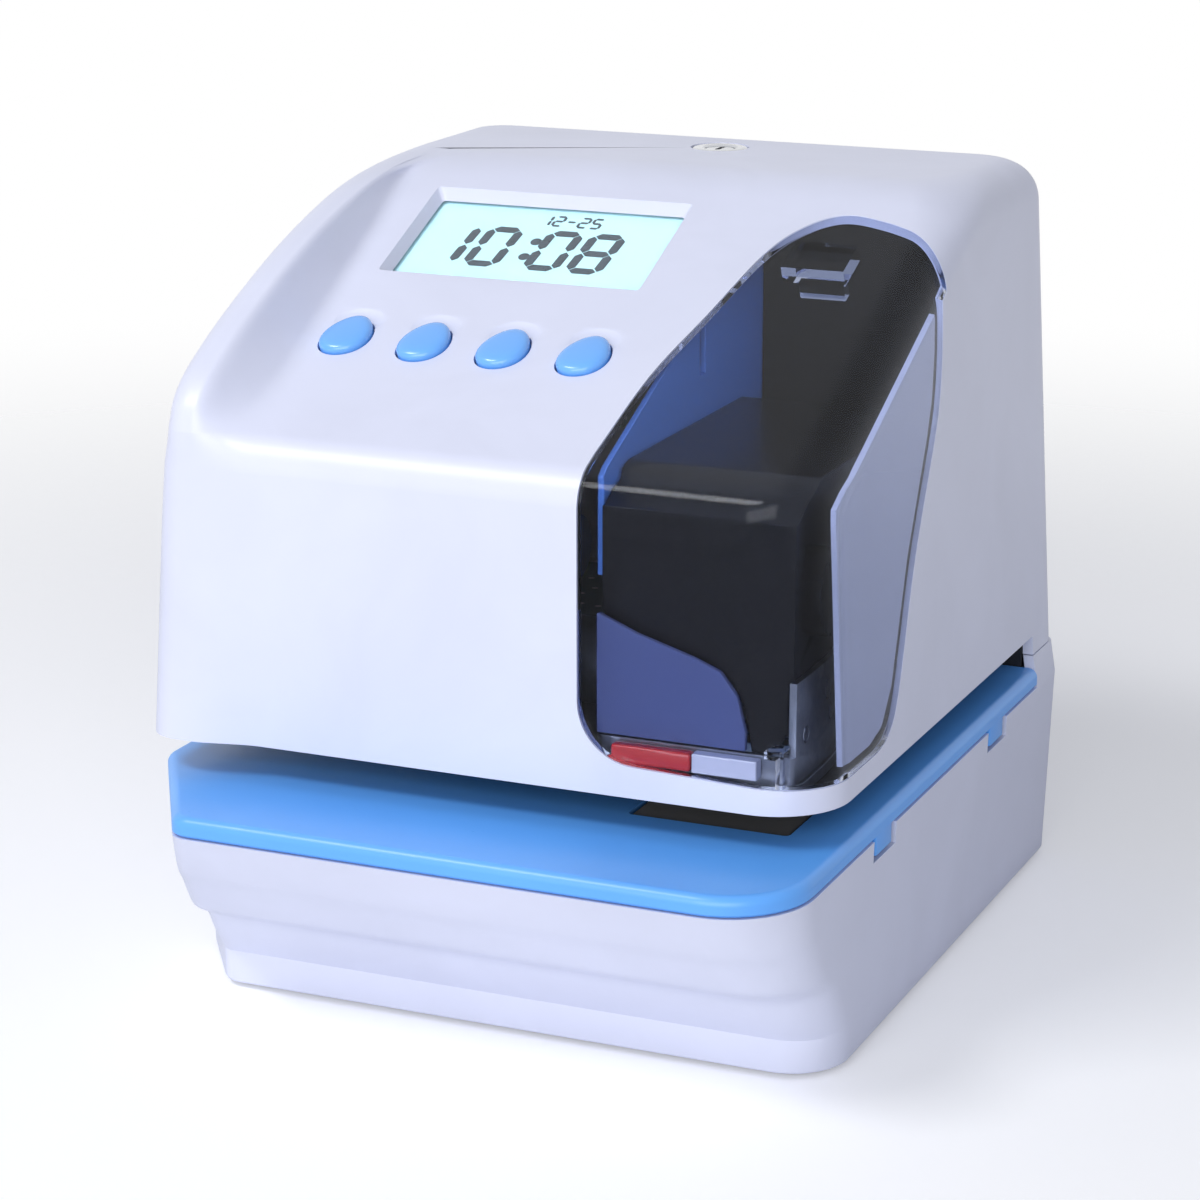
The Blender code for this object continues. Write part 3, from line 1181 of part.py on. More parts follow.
def lock_catch():
    """Post on the chassis arm with a lip that the turned cam runs under."""
    post_right = LOCK_X - LOCK_CAM_LENGTH - CATCH_POST / 2
    post_left = post_right - CATCH_POST
    lip_bottom = cam_top() + SEAT_GAP
    half = CATCH_WIDTH / 2
    outline = [(post_left, ARM_SEAT), (post_right, ARM_SEAT), (post_right, lip_bottom),
               (post_right + CATCH_REACH, lip_bottom), (post_right + CATCH_REACH, lip_bottom + CATCH_LIP),
               (post_left, lip_bottom + CATCH_LIP)]
    return prism("lock_catch", outline, "XZ", LOCK_Y - half, LOCK_Y + half, "zinc_steel")


# Chassis

def chassis_base():
    """Steel plate on the bosses of the base."""
    outline = [(CHASSIS_LEFT, CHASSIS_FRONT), (CHASSIS_RIGHT, CHASSIS_FRONT),
               (CHASSIS_RIGHT, CHASSIS_BACK), (CHASSIS_LEFT, CHASSIS_BACK)]
    plate = prism("chassis_base", rounded(outline, [BOSS_RADIUS] * 4), "XY", CHASSIS_BASE_HEIGHT, CHASSIS_BASE_TOP,
                  "zinc_steel")
    for i, (x, y) in enumerate(chassis_screw_places()):
        cut(plate, cylinder(f"chassis_hole_{i}", (x, y, CHASSIS_BASE_HEIGHT - CUT_OVERRUN), "Z",
                            SCREW_RADIUS + SCREW_CLEARANCE, 2 * CUT_OVERRUN, sides=12))
    return plate


def chassis_screws():
    """Pan-head screws that hold the chassis to the base."""
    for i, (x, y) in enumerate(chassis_screw_places()):
        screw = cylinder(f"chassis_screw_{i + 1}", (x, y, PLATE_SEAT), "Z", SCREW_HEAD_RADIUS, SCREW_HEAD_HEIGHT,
                         "bright_steel", sides=16, tip_radius=SCREW_HEAD_RADIUS * SCREW_HEAD_TIP_SHARE)
        join(screw, cylinder(f"screw_shank_{i}", (x, y, PLATE_SEAT - SCREW_LENGTH), "Z", SCREW_RADIUS,
                             SCREW_LENGTH + SCREW_HEAD_HEIGHT / 2, sides=12))


def chassis_upright():
    """Steel wall inside the rear column, with two lightening windows."""
    height = ARM_BOTTOM - SEAT_GAP
    outline = [(CHASSIS_LEFT, PLATE_SEAT), (CHASSIS_RIGHT, PLATE_SEAT),
               (CHASSIS_RIGHT, height), (CHASSIS_LEFT, height)]
    wall = prism("chassis_upright", outline, "XZ", UPRIGHT_Y, UPRIGHT_Y + PLATE, "zinc_steel")
    width = CHASSIS_RIGHT - CHASSIS_LEFT
    low, high = [mix(PLATE_SEAT, height, share) for share in UPRIGHT_WINDOW_SHARES]
    for i, start in enumerate(UPRIGHT_WINDOW_PLACE_SHARES):
        left = CHASSIS_LEFT + start * width
        right = left + UPRIGHT_WINDOW_WIDTH_SHARE * width
        hole = rounded([(left, low), (right, low), (right, high), (left, high)], [BOSS_RADIUS] * 4)
        cut(wall, prism(f"upright_window_{i}", hole, "XZ", UPRIGHT_Y - CUT_OVERRUN, UPRIGHT_Y + CUT_OVERRUN))
    return wall


def aperture(name, grow, low, high):
    """Space above the platen for the ribbon and the print nose."""
    return box(name, (UNIT_LEFT + UNIT_PLATE + grow, PLATEN_CENTRE_Y - PLATEN_DEPTH / 2 - APERTURE_MARGIN, low),
               (UNIT_RIGHT - UNIT_PLATE - grow, PLATEN_CENTRE_Y + PLATEN_DEPTH / 2 + APERTURE_MARGIN, high))


def lever_slot(name, low, high):
    """Slot that the paper lever swings through."""
    half = LEVER_THICKNESS / 2 + 2 * SEAT_GAP
    ahead, behind = LEVER_SLOT_REACH
    return box(name, (LEVER_X - half, LEVER_PIVOT_Y - ahead, low), (LEVER_X + half, LEVER_PIVOT_Y + behind, high))


def chassis_arm():
    """Steel floor of the head with pressed-in standoffs, which carries the print unit and the board."""
    front = CHASSIS_FRONT - ARM_FRONT_OVERHANG
    outline = [(CHASSIS_LEFT, front), (CHASSIS_RIGHT, front),
               (CHASSIS_RIGHT, CHASSIS_BACK), (CHASSIS_LEFT, CHASSIS_BACK)]
    arm = prism("chassis_arm", rounded(outline, [BOSS_RADIUS] * 4), "XY", ARM_BOTTOM, ARM_TOP, "zinc_steel")
    low = ARM_BOTTOM - CUT_OVERRUN
    high = ARM_TOP + CUT_OVERRUN
    cut(arm, aperture("arm_aperture", 0.0, low, high))
    cut(arm, lever_slot("arm_lever_slot", low, high))
    for i, (x, y) in enumerate(standoff_places()):
        join(arm, cylinder(f"standoff_{i}", (x, y, ARM_TOP - PLATE), "Z", STANDOFF_RADIUS,
                           STANDOFF_HEIGHT + PLATE, sides=6))
    return arm


def head_underplate():
    """Dark floor of the head above the paper throat."""
    section = head_section(HEAD_BOTTOM, WALL + 2 * SEAT_GAP)
    plate = loft("head_underplate", [ring(section, UNDERPLATE_BOTTOM), ring(section, UNDERPLATE_TOP)], "dark_steel")
    low = UNDERPLATE_BOTTOM - CUT_OVERRUN
    high = UNDERPLATE_TOP + CUT_OVERRUN
    cut(plate, box("underplate_rear_cut", (-HALF, UPRIGHT_Y - SEAT_GAP, low), (HALF, REAR, high)))
    cut(plate, aperture("underplate_aperture", UNIT_PLATE, low, high))
    return cut(plate, lever_slot("underplate_lever_slot", low, high))


def throat_backplate():
    """Dark wall that closes the rear of the paper throat."""
    half = head_half(COLUMN_PARTING) - WALL - SEAT_GAP
    return box("throat_backplate", (-half, COLUMN_FRONT, DECK_BOTTOM), (half, COLUMN_FRONT + BACKPLATE_THICKNESS,
               UNDERPLATE_BOTTOM - SEAT_GAP), "dark_steel")


# Print place

def platen_block():
    """Steel anvil under the print place: a foot, a stem and a wide head."""
    half_x = PLATEN_WIDTH / 2
    stem = half_x * PLATEN_STEM_SHARES[0]
    top = DECK_TOP - SEAT_GAP - PLATEN_PAD_HEIGHT - SEAT_GAP
    shoulder = mix(PLATE_SEAT, top, PLATEN_STEM_SHARES[1])
    foot = PLATE_SEAT + PLATE
    points = [(-half_x, PLATE_SEAT), (half_x, PLATE_SEAT), (half_x, foot), (stem, foot + PLATE), (stem, shoulder),
              (half_x, top - PLATE), (half_x, top), (-half_x, top), (-half_x, top - PLATE), (-stem, shoulder),
              (-stem, foot + PLATE), (-half_x, foot)]
    outline = [(PLATEN_CENTRE_X + x, z) for x, z in points]
    return prism("platen_block", outline, "XZ", PLATEN_CENTRE_Y - PLATEN_DEPTH / 2, PLATEN_CENTRE_Y + PLATEN_DEPTH / 2,
                 "zinc_steel")


def platen_pad():
    top = DECK_TOP - SEAT_GAP
    half_x = PLATEN_WIDTH / 2
    half_y = PLATEN_DEPTH / 2
    pad = box("platen_pad", (PLATEN_CENTRE_X - half_x, PLATEN_CENTRE_Y - half_y, top - PLATEN_PAD_HEIGHT),
              (PLATEN_CENTRE_X + half_x, PLATEN_CENTRE_Y + half_y, top), "rubber")
    return soften(pad, SEAT_GAP)


# Print unit

def print_unit_frame():
    """Sheet-metal box without a lid that carries the rails, the screw and the cassette."""
    outer = [(UNIT_LEFT, UNIT_FRONT), (UNIT_RIGHT, UNIT_FRONT), (UNIT_RIGHT, UNIT_BACK), (UNIT_LEFT, UNIT_BACK)]
    frame = prism("print_unit_frame", rounded(outer, [UNIT_PLATE] * 4), "XY", ARM_SEAT, UNIT_TOP, "zinc_steel")
    cut(frame, box("unit_hollow", (UNIT_LEFT + UNIT_PLATE, UNIT_FRONT + UNIT_PLATE, ARM_SEAT - CUT_OVERRUN),
                   (UNIT_RIGHT - UNIT_PLATE, UNIT_BACK - UNIT_PLATE, UNIT_TOP + CUT_OVERRUN)))
    cut(frame, box("unit_front_cut", (UNIT_LEFT - CUT_OVERRUN, UNIT_FRONT - CUT_OVERRUN, UNIT_FRONT_TOP),
                   (UNIT_RIGHT + CUT_OVERRUN, UNIT_FRONT + UNIT_PLATE + SEAT_GAP, UNIT_TOP + CUT_OVERRUN)))
    start = UNIT_LEFT - CUT_OVERRUN
    length = UNIT_RIGHT - UNIT_LEFT + 2 * CUT_OVERRUN
    for name, y, z, radius in shaft_places():
        cut(frame, cylinder(f"{name}_hole", (start, y, z), "X", radius + RUNNING_GAP, length, sides=16))
    return frame


def shaft_places():
    return [("rail_front", RAIL_FRONT_Y, RAIL_HEIGHT, RAIL_RADIUS),
            ("rail_rear", RAIL_REAR_Y, RAIL_HEIGHT, RAIL_RADIUS),
            ("drive_screw", SCREW_AXIS_Y, SCREW_AXIS_Z, DRIVE_SCREW_RADIUS)]


def rails():
    for name, y, z, radius in shaft_places()[:2]:
        cylinder(name, (UNIT_LEFT, y, z), "X", radius, UNIT_RIGHT - UNIT_LEFT, "bright_steel", sides=16)


def drive_screw():
    """Lead screw that moves the carriage; its tail turns inside the motor."""
    start = UNIT_LEFT - SEAT_GAP - MOTOR_SHAFT_DEPTH + SEAT_GAP
    screw = cylinder("drive_screw", (0, 0, 0), "X", DRIVE_SCREW_RADIUS, UNIT_RIGHT - start, "bright_steel", sides=16)
    screw.location = (start, SCREW_AXIS_Y, SCREW_AXIS_Z)
    return screw


def feed_motor():
    face = UNIT_LEFT - SEAT_GAP
    motor = cylinder("feed_motor", (face - MOTOR_LENGTH, SCREW_AXIS_Y, SCREW_AXIS_Z), "X", MOTOR_RADIUS, MOTOR_LENGTH,
                     "zinc_steel", sides=24)
    soften(motor, MOTOR_RADIUS / 12)
    return cut(motor, cylinder("motor_bore", (face - MOTOR_SHAFT_DEPTH - SEAT_GAP, SCREW_AXIS_Y, SCREW_AXIS_Z), "X",
                               DRIVE_SCREW_RADIUS + RUNNING_GAP, MOTOR_SHAFT_DEPTH + CUT_OVERRUN, sides=16))


def carriage_place():
    """Frame on the drive screw's axis, at the left side of the carriage at rest."""
    return Matrix.Translation((UNIT_LEFT + UNIT_PLATE + CARRIAGE_WALL_GAP, SCREW_AXIS_Y, SCREW_AXIS_Z))


def print_carriage():
    """Plastic block on the two rails, driven by the screw."""
    shoulder = RAIL_HEIGHT + 3 * RAIL_RADIUS
    corners = [(CARRIAGE_FRONT, CARRIAGE_BOTTOM), (CARRIAGE_BACK, CARRIAGE_BOTTOM), (CARRIAGE_BACK, shoulder),
               (RAIL_REAR_Y - 2 * RAIL_RADIUS, CARRIAGE_TOP), (RAIL_FRONT_Y + 2 * RAIL_RADIUS, CARRIAGE_TOP),
               (CARRIAGE_FRONT, shoulder)]
    place = carriage_place()
    points = [(y - SCREW_AXIS_Y, z - SCREW_AXIS_Z) for y, z in corners]
    carriage = prism("print_carriage", points, "YZ", 0, CARRIAGE_WIDTH, "black_plastic", frame=place)
    for name, y, z, radius in shaft_places():
        cut(carriage, cylinder(f"carriage_{name}_bore", (-CUT_OVERRUN, y - SCREW_AXIS_Y, z - SCREW_AXIS_Z), "X",
                               radius + RUNNING_GAP, CARRIAGE_WIDTH + 2 * CUT_OVERRUN, sides=16, frame=place))
    return carriage


def ribbon_top():
    return ARM_BOTTOM + RIBBON_THICKNESS + SEAT_GAP


def print_head():
    """Dot print head below the carriage: a finned body and a narrow nose."""
    middle = CARRIAGE_WIDTH / 2
    centre = PLATEN_CENTRE_Y - SCREW_AXIS_Y
    top = CARRIAGE_BOTTOM - SEAT_GAP - SCREW_AXIS_Z
    shoulder = ARM_SEAT + SEAT_GAP - SCREW_AXIS_Z
    half_x, half_y = PRINT_NOSE[0] / 2, PRINT_NOSE[1] / 2
    place = carriage_place()
    body = box("print_head", (middle - half_x, centre - half_y, ribbon_top() + SEAT_GAP - SCREW_AXIS_Z),
               (middle + half_x, centre + half_y, top), "dark_steel", frame=place)
    fin = (top - shoulder) / (2 * FIN_COUNT)
    front, back = centre - 2 * half_y, centre + 2 * half_y
    for i in range(FIN_COUNT):
        low = shoulder + (2 * i + 1) * fin
        join(body, box(f"head_fin_{i}", (0, front, low), (CARRIAGE_WIDTH, back, low + fin), frame=place))
    return body


def ink_ribbon():
    """Ribbon that drops from the cassette, runs over the print place and returns."""
    left = UNIT_LEFT + UNIT_PLATE + RIBBON_SIDE_GAP
    right = UNIT_RIGHT - UNIT_PLATE - RIBBON_SIDE_GAP
    low = ribbon_top() - RIBBON_THICKNESS
    thick = RIBBON_THICKNESS
    outline = [(left, RIBBON_END), (left, low), (right, low), (right, RIBBON_END),
               (right - thick, RIBBON_END), (right - thick, low + thick), (left + thick, low + thick),
               (left + thick, RIBBON_END)]
    return prism("ink_ribbon", outline, "XZ", PLATEN_CENTRE_Y - RIBBON_WIDTH / 2, PLATEN_CENTRE_Y + RIBBON_WIDTH / 2,
                 "inked_fabric")


# Pieces behind the window

def cassette_edge():
    """Lower edge of the cassette's front as it is seen: an S from the left down to the nose."""
    width = CASSETTE_RIGHT - CASSETTE_LEFT
    drop = CASSETTE_TOP - CASSETTE_NOSE_BOTTOM
    return [(CASSETTE_LEFT + x * width, CASSETTE_NOSE_BOTTOM + z * drop) for x, z in CASSETTE_EDGE_SHARES]


def ribbon_cassette():
    """Black ribbon cassette: a deep body, and a front plate that reaches down beside the shield."""
    bottom = UNIT_TOP + SEAT_GAP
    start = CASSETTE_FRONT + CASSETTE_NOSE_DEPTH / 2
    profile = [(start, bottom), (CASSETTE_BACK, bottom), (CASSETTE_BACK, CASSETTE_TOP),
               (CASSETTE_FRONT + CASSETTE_CHAMFER_DEPTH, CASSETTE_TOP), (start, CASSETTE_TOP - CASSETTE_CHAMFER_DROP)]
    cassette = prism("ribbon_cassette", rounded(profile, [0, 0, KNOB_PIN_RADIUS, KNOB_RADIUS, 0]), "YZ",
                     CASSETTE_LEFT, CASSETTE_RIGHT, "black_plastic")
    nose_right = UNIT_RIGHT - UNIT_PLATE - SEAT_GAP
    nose = cassette_edge()
    slant = nose_right - nose[-1][0]
    face = nose + [(nose_right, CASSETTE_NOSE_BOTTOM + 2 * slant), (nose_right, bottom), (CASSETTE_RIGHT, bottom),
                   (CASSETTE_RIGHT, CASSETTE_TOP - CASSETTE_CHAMFER_DROP),
                   (CASSETTE_LEFT, CASSETTE_TOP - CASSETTE_CHAMFER_DROP)]
    join(cassette, prism("cassette_face", face, "XZ", CASSETTE_FRONT, CASSETTE_FRONT + CASSETTE_NOSE_DEPTH))
    front, back = PLATEN_CENTRE_Y - RIBBON_WIDTH, PLATEN_CENTRE_Y + RIBBON_WIDTH
    slot = 3 * RIBBON_SIDE_GAP
    for name, left in (("left", UNIT_LEFT + UNIT_PLATE), ("right", UNIT_RIGHT - UNIT_PLATE - slot)):
        cut(cassette, box(f"ribbon_{name}_slot", (left, front, bottom - CUT_OVERRUN),
                          (left + slot, back, RIBBON_END + SEAT_GAP)))
    return cut(cassette, cylinder("knob_bore", (CASSETTE_RIGHT - KNOB_PIN_LENGTH, KNOB_Y, KNOB_Z), "X",
                                  KNOB_PIN_RADIUS + RUNNING_GAP, CUT_OVERRUN, sides=16))


def ribbon_knob():
    """Thumb wheel that tightens the ribbon, with grips round its rim."""
    knob = cylinder("ribbon_knob", (SEAT_GAP, 0, 0), "X", KNOB_RADIUS, KNOB_THICKNESS, "black_plastic", sides=36)
    pin = cylinder("knob_pin", (SEAT_GAP - KNOB_PIN_LENGTH, 0, 0), "X", KNOB_PIN_RADIUS,
                   KNOB_PIN_LENGTH + KNOB_THICKNESS / 2, sides=16)
    place = Matrix.Translation((CASSETTE_RIGHT, KNOB_Y, KNOB_Z))
    pin.matrix_world = place
    join(knob, pin)
    for i in range(KNOB_GRIPS):
        angle = 2 * math.pi * i / KNOB_GRIPS
        grip = cylinder(f"knob_grip_{i}", (-CUT_OVERRUN, KNOB_RADIUS * math.cos(angle), KNOB_RADIUS * math.sin(angle)),
                        "X", KNOB_GRIP_RADIUS, 2 * CUT_OVERRUN, sides=6)
        grip.matrix_world = place
        cut(knob, grip)
    knob.matrix_world = place
    return knob


def ribbon_shield():
    """Pale shield in front of the carriage, its edge following the cassette."""
    bottom = UNIT_FRONT_TOP + SEAT_GAP
    edge = [(x, z) for x, z in cassette_edge() if z > bottom][:SHIELD_EDGE_POINTS]
    outline = [(UNIT_LEFT, bottom), (edge[-1][0], bottom)] + list(reversed(edge)) + [(UNIT_LEFT, edge[0][1])]
    back = CASSETTE_FRONT - SEAT_GAP
    return prism("ribbon_shield", outline, "XZ", back - SHIELD_THICKNESS, back, "pale_grey_plastic")


def bay_roof(y):
    """Height under the slope that the lining of the bay may reach."""
    return panel_height(y) - LINER_ROOF_GAP


def bay_liner():
    """Blue inner wall of the ribbon bay, standing on the chassis arm under the slope."""
    outline = [(LINER_FRONT, LINER_LEDGE), (LINER_FOOT_FRONT, LINER_LEDGE), (LINER_FOOT_FRONT, ARM_SEAT),
               (LINER_BACK, ARM_SEAT), (LINER_BACK, bay_roof(LINER_BACK)), (LINER_FRONT, bay_roof(LINER_FRONT))]
    liner = prism("bay_liner", rounded(outline, [0, KNOB_PIN_RADIUS, 0, 0, 0, 0]), "YZ",
                  LINER_LEFT, LINER_LEFT + LINER_THICKNESS, "pale_blue_plastic")
    half = LINER_SLOT_WIDTH / 2
    top = bay_roof(LINER_SLOT_Y) - LINER_SLOT_DROP
    return cut(liner, box("liner_slot", (LINER_LEFT - CUT_OVERRUN, LINER_SLOT_Y - half, top - LINER_SLOT_LENGTH),
                          (LINER_LEFT + CUT_OVERRUN, LINER_SLOT_Y + half, top)))


def bay_backwall():
    """Dark wall that closes the ribbon bay behind the cassette."""
    left = LINER_LEFT + LINER_THICKNESS + SEAT_GAP
    front = LINER_BACK - BACKWALL_THICKNESS
    top = bay_roof(front)
    outline = [(left, ARM_SEAT), (CHASSIS_RIGHT, ARM_SEAT), (CHASSIS_RIGHT, top - SHOULDER_RADIUS),
               (CHASSIS_RIGHT - SHOULDER_RADIUS, top), (left, top)]
    return prism("bay_backwall", outline, "XZ", front, LINER_BACK, "black_plastic")


def gauges():
    """Red print gauge and pale guide plate on the front of the print unit."""
    back = UNIT_FRONT - SEAT_GAP
    low = GAUGE_BOTTOM
    high = GAUGE_BOTTOM + GAUGE_HEIGHT
    bar = box("print_gauge", (GAUGE_LEFT, back - GAUGE_DEPTH, low), (GAUGE_SPLIT - SEAT_GAP, back, high),
              "red_plastic")
    soften(bar, GAUGE_DEPTH / 4, segments=3)
    box("guide_plate", (GAUGE_SPLIT, back - GAUGE_DEPTH, low), (GAUGE_RIGHT, back, high), "pale_grey_plastic")


# Paper stop and lever

def paper_stop():
    """Adjustable stop: two pads on a bar, a tongue through the deck's slot and a keeper below."""
    half = STOP_WIDTH / 2
    deep = STOP_DEPTH / 2
    low = DECK_TOP + SEAT_GAP
    stop = box("paper_stop", (-half, -deep, low), (half, deep, low + STOP_HEIGHT * STOP_BAR_SHARE),
               "pale_grey_plastic")
    pad = half / 4
    for i in range(STOP_PAD_COUNT):
        left = -half + i * (STOP_WIDTH - pad)
        join(stop, box(f"stop_pad_{i}", (left, -deep, low + deep / 2), (left + pad, deep, low + STOP_HEIGHT)))
    keeper_x, keeper_y, keeper_z = STOP_KEEPER
    keeper_top = DECK_BOTTOM - SEAT_GAP
    join(stop, box("stop_tongue", (-STOP_TONGUE / 2, -deep, keeper_top - keeper_z / 2),
                   (STOP_TONGUE / 2, deep, low + deep / 2)))
    join(stop, box("stop_keeper", (-keeper_x / 2, -keeper_y / 2, keeper_top - keeper_z),
                   (keeper_x / 2, keeper_y / 2, keeper_top)))
    for item in [stop] + [step.object for step in stop.modifiers]:
        item.location = (0, STOP_REST_Y, 0)
    return stop


def trigger_lever():
    """Paper lever: a hub on its pin, a finger down into the throat and a short tail."""
    half = LEVER_THICKNESS / 2
    finger = LEVER_HUB_RADIUS * LEVER_FINGER_SHARE
    lever = cylinder("trigger_lever", (-half, 0, 0), "X", LEVER_HUB_RADIUS, LEVER_THICKNESS, "black_plastic", sides=20)
    down = box("lever_finger", (-half, -finger, -LEVER_REACH), (half, finger, 0))
    tail = box("lever_tail", (-half, -finger, 0), (half, finger, LEVER_TAIL))
    join(lever, down, tail)
    bore = cylinder("lever_bore", (-CUT_OVERRUN, 0, 0), "X", LEVER_PIN_RADIUS + RUNNING_GAP, 2 * CUT_OVERRUN, sides=16)
    cut(lever, bore)
    for item in (lever, down, tail, bore):
        item.location = (LEVER_X, LEVER_PIVOT_Y, LEVER_PIVOT_Z)
    return lever


def lever_bracket():
    """Folded bracket on the arm whose two ears hold the lever's pin."""
    gap = LEVER_THICKNESS / 2 + SEAT_GAP
    ear = UNIT_PLATE
    foot = 2 * UNIT_PLATE
    top = LEVER_PIVOT_Z + LEVER_HUB_RADIUS
    outline = [(-gap - ear - foot, ARM_SEAT), (-gap - 2 * SEAT_GAP, ARM_SEAT),
               (-gap, ARM_SEAT + 2 * SEAT_GAP), (-gap, top),
               (-gap - ear, top), (-gap - ear, ARM_SEAT + ear), (-gap - ear - foot, ARM_SEAT + ear)]
    mirrored = [(-x, z) for x, z in reversed(outline)]
    front = LEVER_PIVOT_Y - BRACKET_LENGTH / 2
    back = LEVER_PIVOT_Y + BRACKET_LENGTH / 2
    bridge_back = LEVER_PIVOT_Y - LEVER_SLOT_REACH[0] - 2 * SEAT_GAP
    bracket = prism("lever_bracket", [(LEVER_X + x, z) for x, z in outline], "XZ", front - foot, back, "zinc_steel")
    join(bracket, prism("bracket_right_ear", [(LEVER_X + x, z) for x, z in mirrored], "XZ", front - foot, back))
    join(bracket, box("bracket_bridge", (LEVER_X - gap - ear / 2, front - foot, ARM_SEAT),
                      (LEVER_X + gap + ear / 2, min(bridge_back, front), ARM_SEAT + ear)))
    return cut(bracket, cylinder("bracket_holes", (LEVER_X - CUT_OVERRUN, LEVER_PIVOT_Y, LEVER_PIVOT_Z), "X",
                                 LEVER_PIN_RADIUS + RUNNING_GAP, 2 * CUT_OVERRUN, sides=16))


def lever_pin():
    half = LEVER_THICKNESS / 2 + SEAT_GAP + UNIT_PLATE
    return cylinder("lever_pin", (LEVER_X - half, LEVER_PIVOT_Y, LEVER_PIVOT_Z), "X", LEVER_PIN_RADIUS, 2 * half,
                    "bright_steel", sides=16)


# Electrical pieces

def standoff_places():
    left = CHASSIS_LEFT + STANDOFF_INSET
    right = BOARD_RIGHT - STANDOFF_INSET
    front = BOARD_FRONT + STANDOFF_INSET
    back = BOARD_BACK - STANDOFF_INSET
    return [(left, front), (right, front), (left, back), (right, back)]


def board_bottom():
    return ARM_SEAT + STANDOFF_HEIGHT


def main_board():
    """Control board with its chips and one connector."""
    low = board_bottom()
    high = low + BOARD_THICKNESS
    board = box("main_board", (BOARD_LEFT, BOARD_FRONT, low), (BOARD_RIGHT, BOARD_BACK, high), "circuit_board")
    width, depth, height = CHIP_SIZE
    pitch = (BOARD_RIGHT - BOARD_LEFT) / CHIP_COUNT
    for i in range(CHIP_COUNT):
        x = BOARD_LEFT + (i + 0.5) * pitch - width / 2
        join(board, box(f"chip_{i}", (x, BOARD_FRONT + depth, high - BOARD_THICKNESS / 2),
                        (x + width, BOARD_FRONT + 2 * depth, high + height)))
    wide, deep, tall = CONNECTOR_SIZE
    return join(board, box("board_connector", (BOARD_LEFT + wide, BOARD_FRONT + deep / 4, high - BOARD_THICKNESS / 2),
                           (BOARD_LEFT + 2 * wide, BOARD_FRONT + 5 * deep / 4, high + tall)))


def backup_battery():
    """Rechargeable cells in one sleeve, lying on the board."""
    seat = board_bottom() + BOARD_THICKNESS + SEAT_GAP
    x = BOARD_LEFT + BATTERY_RADIUS + STANDOFF_INSET
    y = BOARD_BACK - BATTERY_RADIUS * 2 * BATTERY_COUNT
    pack = cylinder("backup_battery", (x - BATTERY_RADIUS / 2, y, seat + BATTERY_RADIUS), "X", BATTERY_RADIUS,
                    BATTERY_LENGTH, "pale_blue_plastic", sides=20)
    for i in range(1, BATTERY_COUNT):
        start = (x - BATTERY_RADIUS / 2, y + i * BATTERY_RADIUS * BATTERY_PITCH_SHARE, seat + BATTERY_RADIUS)
        cell = cylinder(f"battery_cell_{i}", start, "X", BATTERY_RADIUS, BATTERY_LENGTH, sides=20)
        join(pack, cell)
    return pack


def power_unit():
    """Mains transformer on the chassis base: a laminated core with its winding."""
    width, depth, height = POWER_SIZE
    x, y = POWER_CENTRE
    core = box("power_unit", (x - width / 2, y - depth / 2 * CORE_SHARE, PLATE_SEAT),
               (x + width / 2, y + depth / 2 * CORE_SHARE, PLATE_SEAT + height), "dark_steel")
    winding = box("power_winding", (x - width / 2 * CORE_SHARE, y - depth / 2, PLATE_SEAT + PLATE),
                  (x + width / 2 * CORE_SHARE, y + depth / 2, PLATE_SEAT + height - PLATE))
    return join(core, soften(winding, PLATE))


def power_inlet():
    """Mains inlet in the rear wall: a flange outside the wall line, a pocket and three pins."""
    half = INLET_WIDTH / 2
    face = REAR - BASE_REAR_LEAN - INLET_LIP / 4
    back = UPRIGHT_Y + PLATE + SEAT_GAP
    low = (INLET_CENTRE_X - half, back, INLET_BOTTOM)
    high = (INLET_CENTRE_X + half, face, INLET_BOTTOM + INLET_HEIGHT)
    inlet = box("power_inlet", low, high, "black_plastic")
    lip = INLET_LIP
    cut(inlet, box("inlet_pocket", (low[0] + lip, face - INLET_POCKET_DEPTH, low[2] + lip),
                   (high[0] - lip, face + CUT_OVERRUN, high[2] - lip)))
    pin = INLET_PIN / 2
    for i, (across, up) in enumerate(INLET_PIN_SHARES):
        x = mix(low[0], high[0], across)
        z = mix(low[2], high[2], up)
        join(inlet, box(f"inlet_pin_{i}", (x - pin, face - INLET_POCKET_DEPTH - lip, z - 2 * pin),
                        (x + pin, face - lip, z + 2 * pin)))
    return inlet


def build():
    base_housing()
    feet()
    deck_plate()
    chassis_base()
    chassis_screws()
    chassis_upright()
    chassis_arm()
    head_underplate()
    throat_backplate()
    platen_block()
    platen_pad()
    print_unit_frame()
    rails()
    drive_screw()
    feed_motor()
    print_carriage()
    print_head()
    ink_ribbon()
    ribbon_cassette()
    ribbon_knob()
    ribbon_shield()
    bay_liner()
    bay_backwall()
    gauges()
    paper_stop()
    trigger_lever()
    lever_bracket()
    lever_pin()
    main_board()
    backup_battery()
    power_unit()
    power_inlet()
    cover_shell()
    window_cover()
    window_side_liner()
    lcd_panel()
    lcd_frame()
    for index in range(KEY_COUNT):
        button(index)
    keypad_board()
    lock_barrel()
    lock_plug()
    lock_cam()
    lock_catch()


build()
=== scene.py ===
"""Looks of a desk date and time stamp machine, laid out as an add-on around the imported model."""
import json
import math

import bmesh
import bpy
import numpy as np
from bpy.props import FloatProperty, FloatVectorProperty, IntProperty, PointerProperty
from mathutils import Matrix, Vector

